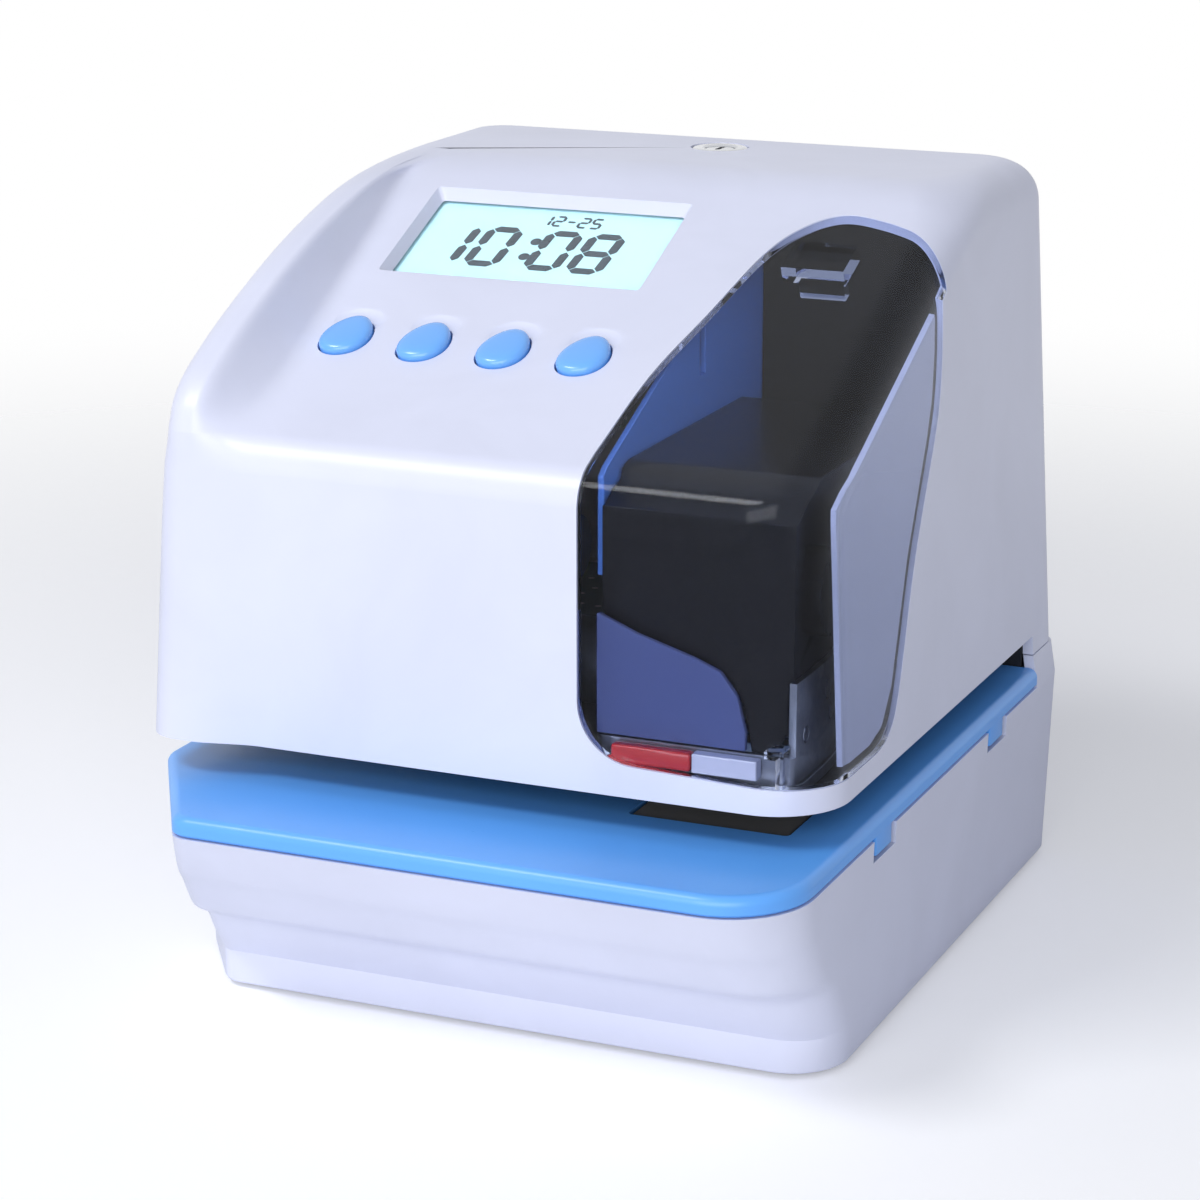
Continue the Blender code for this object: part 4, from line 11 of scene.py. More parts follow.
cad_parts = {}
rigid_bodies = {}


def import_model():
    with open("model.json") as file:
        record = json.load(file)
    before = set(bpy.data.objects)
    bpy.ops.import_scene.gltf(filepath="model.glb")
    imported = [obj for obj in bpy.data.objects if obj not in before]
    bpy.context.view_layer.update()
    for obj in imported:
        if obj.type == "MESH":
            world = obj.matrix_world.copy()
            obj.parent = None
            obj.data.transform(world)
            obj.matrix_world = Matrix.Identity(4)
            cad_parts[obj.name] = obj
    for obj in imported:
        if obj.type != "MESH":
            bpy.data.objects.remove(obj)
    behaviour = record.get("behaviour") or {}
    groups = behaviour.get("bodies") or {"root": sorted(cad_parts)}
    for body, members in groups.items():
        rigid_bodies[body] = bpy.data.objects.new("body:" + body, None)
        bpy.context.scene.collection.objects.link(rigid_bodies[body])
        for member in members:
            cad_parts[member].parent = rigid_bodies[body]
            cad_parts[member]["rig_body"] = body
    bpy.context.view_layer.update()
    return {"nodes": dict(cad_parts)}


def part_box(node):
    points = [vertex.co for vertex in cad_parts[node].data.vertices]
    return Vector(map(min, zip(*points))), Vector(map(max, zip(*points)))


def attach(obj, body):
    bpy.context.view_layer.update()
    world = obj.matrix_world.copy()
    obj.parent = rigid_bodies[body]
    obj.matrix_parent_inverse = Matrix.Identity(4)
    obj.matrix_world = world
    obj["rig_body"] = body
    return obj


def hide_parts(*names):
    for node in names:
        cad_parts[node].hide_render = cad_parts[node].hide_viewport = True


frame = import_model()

bl_info = {
    "name": "Date and time stamp machine",
    "version": (1, 0),
    "blender": (4, 5, 0),
    "location": "3D View > Sidebar > Stamp machine",
    "description": "Builds the visible pieces, materials and studio of a date and time stamp machine",
    "category": "Object",
}

# Share tables of the moulded forms

# How the front of the base leans in below the deck: share of the height, share of the lean
BASE_LEAN_SHARES = ((0.0, 0.0), (0.09, 0.10), (0.20, 0.21), (0.333, 0.34), (0.441, 0.55), (0.548, 0.66),
                    (0.656, 0.757), (0.737, 0.84), (0.817, 0.895), (0.92, 0.955), (1.0, 1.0))

# The raised left edge seen from the side: share of its length, share of its height
FENDER_SHARES = ((0.0, 0.0), (0.012, 0.10), (0.042, 0.195), (0.125, 0.335), (0.256, 0.505),
                 (0.456, 0.718), (0.671, 0.880), (0.810, 0.950), (1.0, 1.0))

# Foot of the groove wall beside the panel: share of the panel's length, share of the head's half width
GROOVE_SHARES = ((0.0, 0.680), (0.11, 0.700), (0.24, 0.704), (0.42, 0.724), (0.60, 0.746),
                 (0.78, 0.768), (0.92, 0.795), (0.97, 0.760), (1.03, 0.658), (1.12, 0.540))

# The window's edge over the slope: share of its width, share of its length
WINDOW_TOP_SHARES = ((0.0, 0.0), (0.031, 0.30), (0.110, 0.55), (0.193, 0.81), (0.29, 0.935), (0.43, 1.0),
                     (0.61, 0.985), (0.80, 0.938), (1.0, 0.88))

# The window's edge on the side wall: share of its depth, share of its height
WINDOW_SIDE_SHARES = ((0.42, 0.0), (0.515, 0.022), (0.595, 0.103), (0.742, 0.40), (0.916, 0.665),
                      (0.963, 0.757), (0.99, 0.87), (1.0, 1.0))

# The window's latch: width, length and drop, and how far its hook lies above the head's bottom
LATCH_SIZE = (0.0140, 0.0100, 0.0075)
HOOK_RISE = 0.0050

# Snap tabs of the deck: their front ends, length, and the notch's margin round them
TAB_FRONTS = (-0.038, 0.040)
TAB_LENGTH = 0.010
NOTCH_MARGIN = 0.002

# How far a cutter runs past what it cuts
OVERRUN = 0.02

# Crown of a key: share of its height, share of its width
KEY_DOME_SHARES = ((0.0, 1.0), (0.30, 0.995), (0.52, 0.965), (0.70, 0.905), (0.84, 0.80), (0.94, 0.62),
                   (0.985, 0.40), (1.0, 0.18))


# Sizes and colours, as properties

def length(label, tells, default):
    return FloatProperty(name=label, description=tells, default=default, unit="LENGTH", subtype="DISTANCE",
                         precision=5)


def ratio(label, tells, default):
    return FloatProperty(name=label, description=tells, default=default, precision=4)


def linear(text):
    """Linear RGB of an sRGB colour written as six hex digits."""
    parts = [int(text[i:i + 2], 16) / 255 for i in (0, 2, 4)]
    return tuple(c / 12.92 if c <= 0.04045 else ((c + 0.055) / 1.055) ** 2.4 for c in parts)


def paint(label, tells, text):
    return FloatVectorProperty(name=label, description=tells, default=linear(text), subtype="COLOR", size=3,
                               min=0.0, max=1.0)


class BodySizes(bpy.types.PropertyGroup):
    """Overall sizes of the base, the deck and the walls."""
    half: length("Half width", "Half of the widest level", 0.0775)
    front: length("Front", "Y of the deck's front edge", -0.0942)
    rear: length("Rear", "Y of the rear wall", 0.0942)
    height: length("Height", "Top of the head above the table", 0.168)
    wall: length("Wall", "Thickness of the moulded walls", 0.0024)
    gap: length("Gap", "Parting gap between pieces", 0.0003)
    deck_top: length("Deck top", "Height of the paper deck", 0.0503)
    deck_thickness: length("Deck thickness", "Thickness of the blue deck", 0.0042)
    deck_round: length("Deck edge", "Radius of the deck's top edge", 0.0021)
    foot: length("Foot stand", "Height of the base above the table", 0.001)
    skirt: length("Skirt", "Height of the band at the foot of the base", 0.0076)
    side_lean: length("Side lean", "How far each side draws in at the foot", 0.0015)
    front_lean: length("Front lean", "How far the front draws in at the foot", 0.0328)
    rear_lean: length("Rear lean", "How far the rear draws in at the foot", 0.001)
    corner: length("Corner radius", "Right front corner under the deck", 0.018)
    skirt_corner: length("Skirt corner radius", "Right front corner at the foot", 0.013)
    rear_radius: length("Rear corner radius", "Rear corners", 0.004)
    cut_length: length("Cut length", "Length of the cut left front corner", 0.0372)
    cut_width: length("Cut width", "Width of the cut left front corner", 0.0225)
    skirt_cut_length: length("Skirt cut length", "The cut corner's length at the foot", 0.020)
    skirt_cut_width: length("Skirt cut width", "The cut corner's width at the foot", 0.014)
    cut_round: length("Cut round", "Radius at the ends of the cut", 0.005)
    column_front: length("Column front", "Y of the rear column's front", 0.076)
    parting: length("Parting", "Height of the joint between head and base at the rear", 0.0535)


class HeadSizes(bpy.types.PropertyGroup):
    """Sizes of the moulded head cover and its window."""
    half: length("Half width", "Half width of the head at its lower edge", 0.076)
    bottom: length("Bottom", "Height of the head's lower edge", 0.058)
    front: length("Front", "Y of the front wall's lower edge", -0.0698)
    draft: ratio("Draft", "Lean of the walls per unit of height", 0.045)
    corner: length("Front corner radius", "Right front corner", 0.016)
    left_corner: length("Left corner radius", "Left front corner", 0.008)
    rear_corner: length("Rear corner radius", "Rear corners", 0.006)
    shoulder: length("Shoulder radius", "Rolled edge at the right of the top", 0.0095)
    fender_edge: length("Fender edge radius", "Rolled outer edge of the fender", 0.007)
    panel_start: length("Panel start", "Height where the sloping panel meets the front wall", 0.12202)
    panel_back: length("Panel back", "Y where the slope meets the flat top", 0.0366)
    bend: length("Bend radius", "Round between the front wall and the slope", 0.009)
    crest: length("Crest radius", "Round between the slope and the flat top", 0.040)
    fender_rim: length("Fender rim", "X of the fender's inner rim", -0.062)
    fender_rise: length("Fender rise", "Start of the fender above the panel's start", 0.002)
    fender_reach: length("Fender reach", "End of the fender behind the panel's back", 0.007)
    rim_round: length("Rim round", "Round of the fender's inner rim", 0.0022)
    wall_round: length("Wall round", "Round along the fender's inner wall", 0.0048)
    groove_round: length("Groove round", "Round at the foot of the groove", 0.0030)
    window_left: length("Window left", "X of the window's left edge", 0.0233)
    window_floor: length("Window floor", "Height of the window's lower edge at the left", 0.0650)
    window_side_floor: length("Window side floor", "Height of its lower edge at the side", 0.0628)
    window_corner: length("Window corner", "Radius of its lower left corner", 0.0125)
    window_thickness: length("Window thickness", "Thickness of the clear pane", 0.0020)
    latch_x: length("Latch X", "Middle of the window's latch", 0.0450)
    latch_y: length("Latch Y", "Middle of the window's latch", 0.0110)
    hook_x: length("Hook X", "Middle of the window's hook", 0.0660)
    hook_end: length("Hook end", "Y where the hook's arm stops", -0.0628)
    window_back: length("Window back", "Y of its edge on the slope", 0.0240)
    window_side_back: length("Window side back", "Y of its edge on the side", 0.0134)
    window_side_drop: length("Window side drop", "Drop of its side crease below the panel", 0.0099)


class PanelSizes(bpy.types.PropertyGroup):
    """Sizes of the display, the keys and the lock."""
    display_x: length("Display X", "Middle of the display", -0.01955)
    display_y: length("Display Y", "Middle of the display", 0.0087948)
    opening_width: length("Opening width", "Display opening in the panel", 0.0615)
    opening_length: length("Opening length", "Display opening in the panel", 0.0338)
    sight_width: length("Sight width", "Visible glass", 0.0585)
    sight_length: length("Sight length", "Visible glass", 0.0298)
    glass_width: length("Glass width", "Whole glass", 0.0659)
    glass_length: length("Glass length", "Whole glass", 0.0370)
    glass_thickness: length("Glass thickness", "Whole glass", 0.0022)
    key_first: length("First key", "X of the first key", -0.0460)
    key_pitch: length("Key pitch", "Distance from key to key", 0.0183)
    key_y: length("Key row", "Y of the key row", -0.0296522)
    key_width: length("Key width", "Key across", 0.0103029)
    key_length: length("Key length", "Key along the slope", 0.0130)
    key_proud: length("Key height", "Top of a key above the panel", 0.0021)
    key_gap: length("Key gap", "Clearance round a key", 0.0004)
    key_point: ratio("Key point", "How far the egg narrows", 0.16)
    key_count: IntProperty(name="Keys", description="Number of keys", default=4)
    dish_reach: length("Dish reach", "Radius of the finger dish above a key", 0.0058)
    dish_depth: length("Dish depth", "Depth of the finger dish", 0.0009)
    lock_x: length("Lock X", "Axis of the lock", -0.0008)
    lock_y: length("Lock Y", "Axis of the lock", 0.0706)
    lock_flange: length("Lock flange", "Radius of the lock's flange", 0.0065)
    lock_barrel: length("Lock barrel", "Radius of the lock's barrel", 0.0052)
    lock_plug: length("Lock plug", "Radius of the lock's plug", 0.0034)
    lock_sink: length("Lock sink", "Depth of the flange's seat", 0.0008)


class Colours(bpy.types.PropertyGroup):
    """Colours, named for what they paint."""
    housing: paint("Housing", "Cool white of the housing", "DADEF2")
    deck: paint("Deck", "Blue of the paper deck", "62ACFE")
    key: paint("Key", "Blue of the keys", "6CB0FC")
    liner: paint("Liner", "Light blue wall beside the cassette", "6AA0F4")
    black: paint("Black", "Cassette and dark plastic", "0C0C0F")
    grey: paint("Grey", "Pale shield and paper stop", "B9BDD2")
    shield: paint("Shield", "Slate blue shield below the cassette", "5C6692")
    red: paint("Red", "Gauge bar", "B3242C")
    smoke: paint("Smoke", "Tint of the window", "C6CCDC")
    glass: paint("Display", "Pale ground of the display", "A9D3DF")
    segment: paint("Segment", "Dark segments of the display", "22303C")
    steel: paint("Steel", "Zinc coated steel", "B4B7BC")
    dark_steel: paint("Dark steel", "Blackened steel", "33353A")
    bright_steel: paint("Bright steel", "Ground steel and plated brass", "D3D5DA")
    rubber: paint("Rubber", "Feet and platen pad", "26272A")
    board: paint("Board", "Solder mask of the boards", "1F5A3C")
    fabric: paint("Ribbon", "Inked ribbon", "15151C")
    floor: paint("Floor", "Plain studio floor", "F4F5F8")


class StageSizes(bpy.types.PropertyGroup):
    """Camera, lamps and floor."""
    camera: FloatVectorProperty(name="Camera", description="Place of the camera", size=3, unit="LENGTH",
                                default=(0.2915, -0.6784, 0.2866))
    pitch: FloatProperty(name="Pitch", description="How far the camera looks down", unit="ROTATION",
                         default=math.radians(15.78))
    yaw: FloatProperty(name="Yaw", description="How far the camera is turned to the left", unit="ROTATION",
                       default=math.radians(23.29))
    lens: FloatProperty(name="Lens", description="Focal length in millimetres", default=104.91)
    ambient: FloatProperty(name="Ambient", description="Strength of the light from all round", default=0.345)
    key_power: FloatProperty(name="Key power", description="Watts of the small high lamp", default=4.6)
    front_power: FloatProperty(name="Front power", description="Watts of the broad lamp in front",
                               default=17.0)
    floor_lift: FloatProperty(name="Floor lift", description="Glow that the camera sees on the floor",
                              default=0.22)
    floor_radius: length("Floor radius", "Where the floor has faded out", 1.6)


GROUPS = {"body": BodySizes, "head": HeadSizes, "panel": PanelSizes, "colour": Colours, "stage": StageSizes}


def sizes(name):
    return getattr(bpy.context.scene, "stamp_" + name)


# Computed surfaces

def smooth_line(points, count=160):
    """A monotone cubic through points, as (x, y) samples: Hermite pieces whose slopes are harmonic means."""
    x, y = np.array(points, float).T
    step = np.diff(x)
    rise = np.diff(y) / step
    slope = np.empty(len(x))
    slope[0], slope[-1] = rise[0], rise[-1]
    before, after = rise[:-1], rise[1:]
    product = before * after
    slope[1:-1] = np.where(product > 0, 2 * product / np.where(product > 0, before + after, 1.0), 0.0)
    at = np.linspace(x[0], x[-1], count)
    i = np.clip(np.searchsorted(x, at, side="right") - 1, 0, len(x) - 2)
    t = (at - x[i]) / step[i]
    value = ((2 * t ** 3 - 3 * t ** 2 + 1) * y[i] + (t ** 3 - 2 * t ** 2 + t) * step[i] * slope[i]
             + (3 * t ** 2 - 2 * t ** 3) * y[i + 1] + (t ** 3 - t ** 2) * step[i] * slope[i + 1])
    return at, value


def through(points, per_piece=8):
    """A Catmull-Rom curve: each piece is the cubic whose end tangents join the points beside it."""
    p = np.array(points, float)
    p = np.vstack([2 * p[0] - p[1], p, 2 * p[-1] - p[-2]])
    t = np.linspace(0, 1, per_piece, endpoint=False)[:, None]
    pieces = []
    for a, b, c, d in zip(p, p[1:], p[2:], p[3:]):
        pieces.append(0.5 * (2 * b + (c - a) * t + (2 * a - 5 * b + 4 * c - d) * t ** 2
                             + (3 * b - a - 3 * c + d) * t ** 3))
    return np.vstack(pieces + [p[-2:-1]])


def filleted(corners, radii, steps=6):
    """Outlines with corners, (rows, k, 2), each made an arc that is tangent to both of its sides."""
    corners = np.atleast_3d(np.asarray(corners, float))
    if corners.shape[-1] == 1:
        corners = corners.transpose(2, 0, 1)
    rows, k, _ = corners.shape
    radii = np.broadcast_to(np.asarray(radii, float), (rows, k))
    back = np.roll(corners, 1, axis=1) - corners
    ahead = np.roll(corners, -1, axis=1) - corners
    back_length = np.linalg.norm(back, axis=-1)
    ahead_length = np.linalg.norm(ahead, axis=-1)
    back /= back_length[..., None]
    ahead /= ahead_length[..., None]
    cosine = np.clip((back * ahead).sum(-1), -0.99999, 0.99999)
    half = np.arccos(cosine) / 2
    reach = np.minimum(np.maximum(radii, 1e-6) / np.tan(half), np.minimum(back_length, ahead_length) / 2.02)
    radius = reach * np.tan(half)
    middle = (back + ahead) / np.linalg.norm(back + ahead, axis=-1)[..., None]
    centre = corners + middle * (radius / np.sin(half))[..., None]
    start = corners + back * reach[..., None] - centre
    cross = back[..., 0] * ahead[..., 1] - back[..., 1] * ahead[..., 0]
    turn = -np.sign(cross) * (math.pi - 2 * half)
    angle = turn[..., None] * np.linspace(0, 1, steps + 1)
    c, s = np.cos(angle), np.sin(angle)
    x = centre[..., 0, None] + c * start[..., 0, None] - s * start[..., 1, None]
    y = centre[..., 1, None] + s * start[..., 0, None] + c * start[..., 1, None]
    return np.stack([x, y], -1).reshape(rows, -1, 2)


def quarter(centre_x, centre_y, across, along, start, steps):
    """A quarter of an ellipse for each row: centre plus (across cos, along sin) over one right angle."""
    angle = (start + np.linspace(0, 1, steps + 1)) * math.pi / 2
    return np.stack([centre_x[:, None] + across[:, None] * np.cos(angle),
                     centre_y[:, None] + along[:, None] * np.sin(angle)], -1)


def straight(a, b, steps):
    """Points inside the line from a to b for each row, without its ends."""
    t = np.linspace(0, 1, steps + 2)[1:-1][None, :, None]
    return a[:, None] * (1 - t) + b[:, None] * t


def bent(corner, back, ahead, back_reach, ahead_reach, steps=8):
    """A parabola round a corner for each row, from side to side, with the corner as its control point."""
    arms = []
    for other, reach in ((back, back_reach), (ahead, ahead_reach)):
        arm = other - corner
        size = np.maximum(np.linalg.norm(arm, axis=-1), 1e-9)
        arms.append(arm / size[:, None] * np.minimum(reach, size / 2.5)[:, None])
    t = np.linspace(0, 1, steps + 1)[None, :, None]
    first, last = corner + arms[0], corner + arms[1]
    return (first[:, None] * (1 - t) ** 2 + corner[:, None] * 2 * t * (1 - t) + last[:, None] * t ** 2)


def ring_faces(rows, columns, close_rows=False):
    """Quads of a grid whose columns close: corner (row, column) joins (row, column + 1) and the row above."""
    i = np.arange(rows if close_rows else rows - 1)[:, None]
    j = np.arange(columns)[None, :]
    up, on = (i + 1) % rows, (j + 1) % columns
    quads = np.stack([i * columns + j, i * columns + on, up * columns + on, up * columns + j], -1)
    return quads.reshape(-1, 4)


def mesh_piece(name, points, faces, matrix=None):
    """An object whose mesh holds these points and faces, with its place in the mesh."""
    mesh = bpy.data.meshes.new(name)
    mesh.from_pydata(np.asarray(points, float).reshape(-1, 3).tolist(), [],
                     [list(map(int, f)) for f in faces])
    if matrix is not None:
        mesh.transform(matrix)
    mesh.update()
    piece = bpy.data.objects.new(name, mesh)
    bpy.context.scene.collection.objects.link(piece)
    return piece


def with_height(outline, z):
    """Rows of (x, y) points with one height for each row."""
    z = np.broadcast_to(np.asarray(z, float)[:, None], outline.shape[:2])
    return np.concatenate([outline, z[..., None]], -1)


def lofted(name, rings, matrix=None):
    """A closed solid through rings, bottom to top, each anticlockwise from above, with flat ends."""
    rows, columns, _ = rings.shape
    faces = list(ring_faces(rows, columns))
    faces.append(range(columns - 1, -1, -1))
    faces.append(range((rows - 1) * columns, rows * columns))
    return mesh_piece(name, rings, faces, matrix)


def skin(name, outer, inner):
    """A closed shell: the outer rings up, the inner rings down again, joined by a rim at the foot."""
    columns = outer.shape[1]
    rings = np.concatenate([outer, inner[::-1]])
    rows = len(rings)
    faces = ring_faces(rows, columns, close_rows=True).reshape(rows, columns, 4)
    faces = list(np.delete(faces, len(outer) - 1, axis=0).reshape(-1, 4))
    top = len(outer) * columns
    faces.append(range(top - columns, top))
    faces.append(range(top + columns - 1, top - 1, -1))
    return mesh_piece(name, rings, faces)


def prism(name, outline, low, high, plane="XY", matrix=None):
    """A flat outline thickened between two values of the third axis."""
    outline = np.asarray(outline, float).reshape(1, -1, 2)
    rings = with_height(np.repeat(outline, 2, axis=0), [low, high])
    turn = {"XY": Matrix.Identity(4),
            "XZ": Matrix(((1, 0, 0, 0), (0, 0, 1, 0), (0, 1, 0, 0), (0, 0, 0, 1))),
            "YZ": Matrix(((0, 0, 1, 0), (1, 0, 0, 0), (0, 1, 0, 0), (0, 0, 0, 1)))}[plane]
    piece = lofted(name, rings, turn if matrix is None else matrix @ turn)
    return outward(piece)


def box_piece(name, low, high, round_by=0.0, matrix=None):
    """A block with rounded upright edges."""
    corners = [(low[0], low[1]), (high[0], low[1]), (high[0], high[1]), (low[0], high[1])]
    return prism(name, filleted(corners, round_by, 3)[0], low[2], high[2], matrix=matrix)


def turned(name, profile, sides=48, matrix=None):
    """A solid of revolution round Z: each profile point (radius, height) sweeps a circle."""
    profile = np.asarray(profile, float)
    angle = np.linspace(0, 2 * math.pi, sides, endpoint=False)
    circle = np.stack([np.cos(angle), np.sin(angle)], -1)
    rings = with_height(profile[:, None, :1] * circle[None], profile[:, 1])
    return outward(lofted(name, rings, matrix))


def outward(piece):
    shape = bmesh.new()
    shape.from_mesh(piece.data)
    bmesh.ops.recalc_face_normals(shape, faces=shape.faces)
    shape.to_mesh(piece.data)
    shape.free()
    return piece


def combine(target, tools, operation="DIFFERENCE", solver="MANIFOLD"):
    """Cuts, joins or keeps with each tool in turn, and removes the tools."""
    for tool in tools:
        change = target.modifiers.new("combine", "BOOLEAN")
        change.operation = operation
        change.object = tool
        change.solver = solver
        baked = bpy.data.meshes.new_from_object(target.evaluated_get(bpy.context.evaluated_depsgraph_get()))
        target.modifiers.remove(change)
        if not baked.polygons:
            raise RuntimeError(f"{target.name} vanished at {tool.name}")
        old = target.data
        target.data = baked
        baked.name = target.name
        bpy.data.meshes.remove(old)
        bpy.data.objects.remove(tool)
    return target


def finish_mesh(piece, angle=30.0, bevel=0.0, segments=2, merge=1e-6):
    """Smooth shading that stays crisp above an angle, with a fine bevel where one is asked for."""
    shape = bmesh.new()
    shape.from_mesh(piece.data)
    bmesh.ops.remove_doubles(shape, verts=shape.verts, dist=merge)
    shape.to_mesh(piece.data)
    shape.free()
    piece.data.polygons.foreach_set("use_smooth", np.ones(len(piece.data.polygons), bool))
    piece.data.set_sharp_from_angle(angle=math.radians(angle))
    if bevel:
        edge = piece.modifiers.new("edges", "BEVEL")
        edge.width = bevel
        edge.segments = segments
        edge.limit_method = "ANGLE"
        edge.angle_limit = math.radians(angle)
        edge.harden_normals = True
    return piece


def seat(piece, body, material, replaces=()):
    """Gives a piece its material, its body and the nodes that it stands for."""
    piece.data.materials.clear()
    piece.data.materials.append(material)
    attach(piece, body)
    if replaces:
        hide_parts(*replaces)
    return piece


def refined(node, material, bevel=0.0003, angle=32.0, segments=2):
    """The node's own solid with its triangles merged into faces, its edges broken and its curves smooth."""
    source = frame["nodes"][node]
    mesh = source.data.copy()
    piece = bpy.data.objects.new(node + "_finished", mesh)
    bpy.context.scene.collection.objects.link(piece)
    shape = bmesh.new()
    shape.from_mesh(mesh)
    bmesh.ops.remove_doubles(shape, verts=shape.verts, dist=2e-6)
    bmesh.ops.dissolve_limit(shape, angle_limit=math.radians(0.6), verts=shape.verts, edges=shape.edges)
    shape.to_mesh(mesh)
    shape.free()
    finish_mesh(piece, angle, bevel, segments)
    return seat(piece, source["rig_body"], material, (node,))


# Materials

def add(tree, kind, inputs=None, links=None, **settings):
    """Adds a shader node with its properties (settings), values by socket (inputs) and links."""
    item = tree.nodes.new(kind)
    for key, value in settings.items():
        setattr(item, key, value)
    for key, value in (inputs or {}).items():
        item.inputs[key].default_value = value
    for key, output in (links or {}).items():
        tree.links.new(output, item.inputs[key])
    return item


def start_material(name):
    """A material with an empty tree, its output node and the object coordinates."""
    material = bpy.data.materials.new(name)
    material.use_nodes = True
    tree = material.node_tree
    tree.nodes.clear()
    output = add(tree, "ShaderNodeOutputMaterial")
    place = add(tree, "ShaderNodeTexCoord").outputs["Object"]
    return material, tree, output, place


def ramp(tree, value, *stops):
    """A value mapped through straight pieces between (place, grey) stops."""
    item = add(tree, "ShaderNodeValToRGB", links={"Fac": value})
    marks = item.color_ramp.elements
    while len(marks) < len(stops):
        marks.new(0.5)
    for mark, (at, grey) in zip(marks, stops):
        mark.position = at
        mark.color = (*grey, 1) if isinstance(grey, tuple) else (grey, grey, grey, 1)
    return item.outputs["Color"]


def shade(colour, share):
    """A colour made darker or lighter by a share, as RGBA."""
    return tuple(min(c * share, 1.0) for c in colour[:3]) + (1.0,)


def moulded(name, colour, roughness=0.4, grain=0.00035, depth=0.00002, specular=0.5, coat=0.0, wave=0.018):
    """Injection moulded plastic: eroded-steel grain, sink waves, faint flow tone and handling marks."""
    material, tree, output, place = start_material(name)
    grain_noise = add(tree, "ShaderNodeTexNoise", {"Scale": 1 / grain, "Detail": 3.0, "Roughness": 0.6},
                      {"Vector": place})
    wave_noise = add(tree, "ShaderNodeTexNoise", {"Scale": 1 / wave, "Detail": 1.0}, {"Vector": place})
    flow = add(tree, "ShaderNodeTexNoise", {"Scale": 1 / (2.2 * wave), "Detail": 4.0, "Roughness": 0.55,
                                            "Distortion": 0.6}, {"Vector": place})
    marks_place = add(tree, "ShaderNodeMapping", {"Scale": (1.0, 9.0, 9.0), "Rotation": (0.3, 0.2, 0.5)},
                      {"Vector": place})
    marks = add(tree, "ShaderNodeTexNoise", {"Scale": 120.0, "Detail": 5.0, "Roughness": 0.7},
                {"Vector": marks_place.outputs["Vector"]})
    # The mould's flow lines shift the tone by a few parts in a hundred
    tone = ramp(tree, flow.outputs["Fac"], (0.30, shade(colour, 0.965)[:3]), (0.70, shade(colour, 1.03)[:3]))
    # Fine handling marks polish narrow streaks of the grain
    streaks = ramp(tree, marks.outputs["Fac"], (0.56, roughness), (0.70, roughness * 0.82),
                   (0.78, roughness * 1.1))
    broad = add(tree, "ShaderNodeBump", {"Strength": 0.25, "Distance": 0.0004},
                {"Height": wave_noise.outputs["Fac"]})
    fine = add(tree, "ShaderNodeBump", {"Strength": 0.5, "Distance": depth},
               {"Height": grain_noise.outputs["Fac"], "Normal": broad.outputs["Normal"]})
    surface = add(tree, "ShaderNodeBsdfPrincipled",
                  {"IOR": 1.53, "Coat Weight": coat, "Coat Roughness": 0.12, "Specular IOR Level": specular},
                  {"Base Color": tone, "Roughness": streaks, "Normal": fine.outputs["Normal"]})
    tree.links.new(surface.outputs["BSDF"], output.inputs["Surface"])
    return material


def smoke_window(name, colour, ior):
    """Clear smoke-tinted polycarbonate: polished, with a faint waviness and a few hairline scratches."""
    # The index stays under the real 1.58, whose mirror image of a white room would veil the cassette
    material, tree, output, place = start_material(name)
    wave = add(tree, "ShaderNodeTexNoise", {"Scale": 28.0, "Detail": 1.0}, {"Vector": place})
    hair_place = add(tree, "ShaderNodeMapping", {"Scale": (1.0, 14.0, 14.0), "Rotation": (0.2, 0.5, 0.9)},
                     {"Vector": place})
    hair = add(tree, "ShaderNodeTexNoise", {"Scale": 180.0, "Detail": 6.0, "Roughness": 0.8},
               {"Vector": hair_place.outputs["Vector"]})
    dull = ramp(tree, hair.outputs["Fac"], (0.60, 0.012), (0.74, 0.075))
    bump = add(tree, "ShaderNodeBump", {"Strength": 0.12, "Distance": 0.0003},
               {"Height": wave.outputs["Fac"]})
    glass = add(tree, "ShaderNodeBsdfPrincipled",
                {"Base Color": (*colour, 1), "IOR": ior, "Transmission Weight": 1.0},
                {"Roughness": dull, "Normal": bump.outputs["Normal"]})
    # Lamps reach what lies behind the pane through a tinted opening, for shadow rays alone
    clear = add(tree, "ShaderNodeBsdfTransparent", {"Color": (*colour, 1)})
    path = add(tree, "ShaderNodeLightPath")
    both = add(tree, "ShaderNodeMixShader", links={"Fac": path.outputs["Is Shadow Ray"],
                                                   1: glass.outputs["BSDF"], 2: clear.outputs["BSDF"]})
    tree.links.new(both.outputs["Shader"], output.inputs["Surface"])
    return material


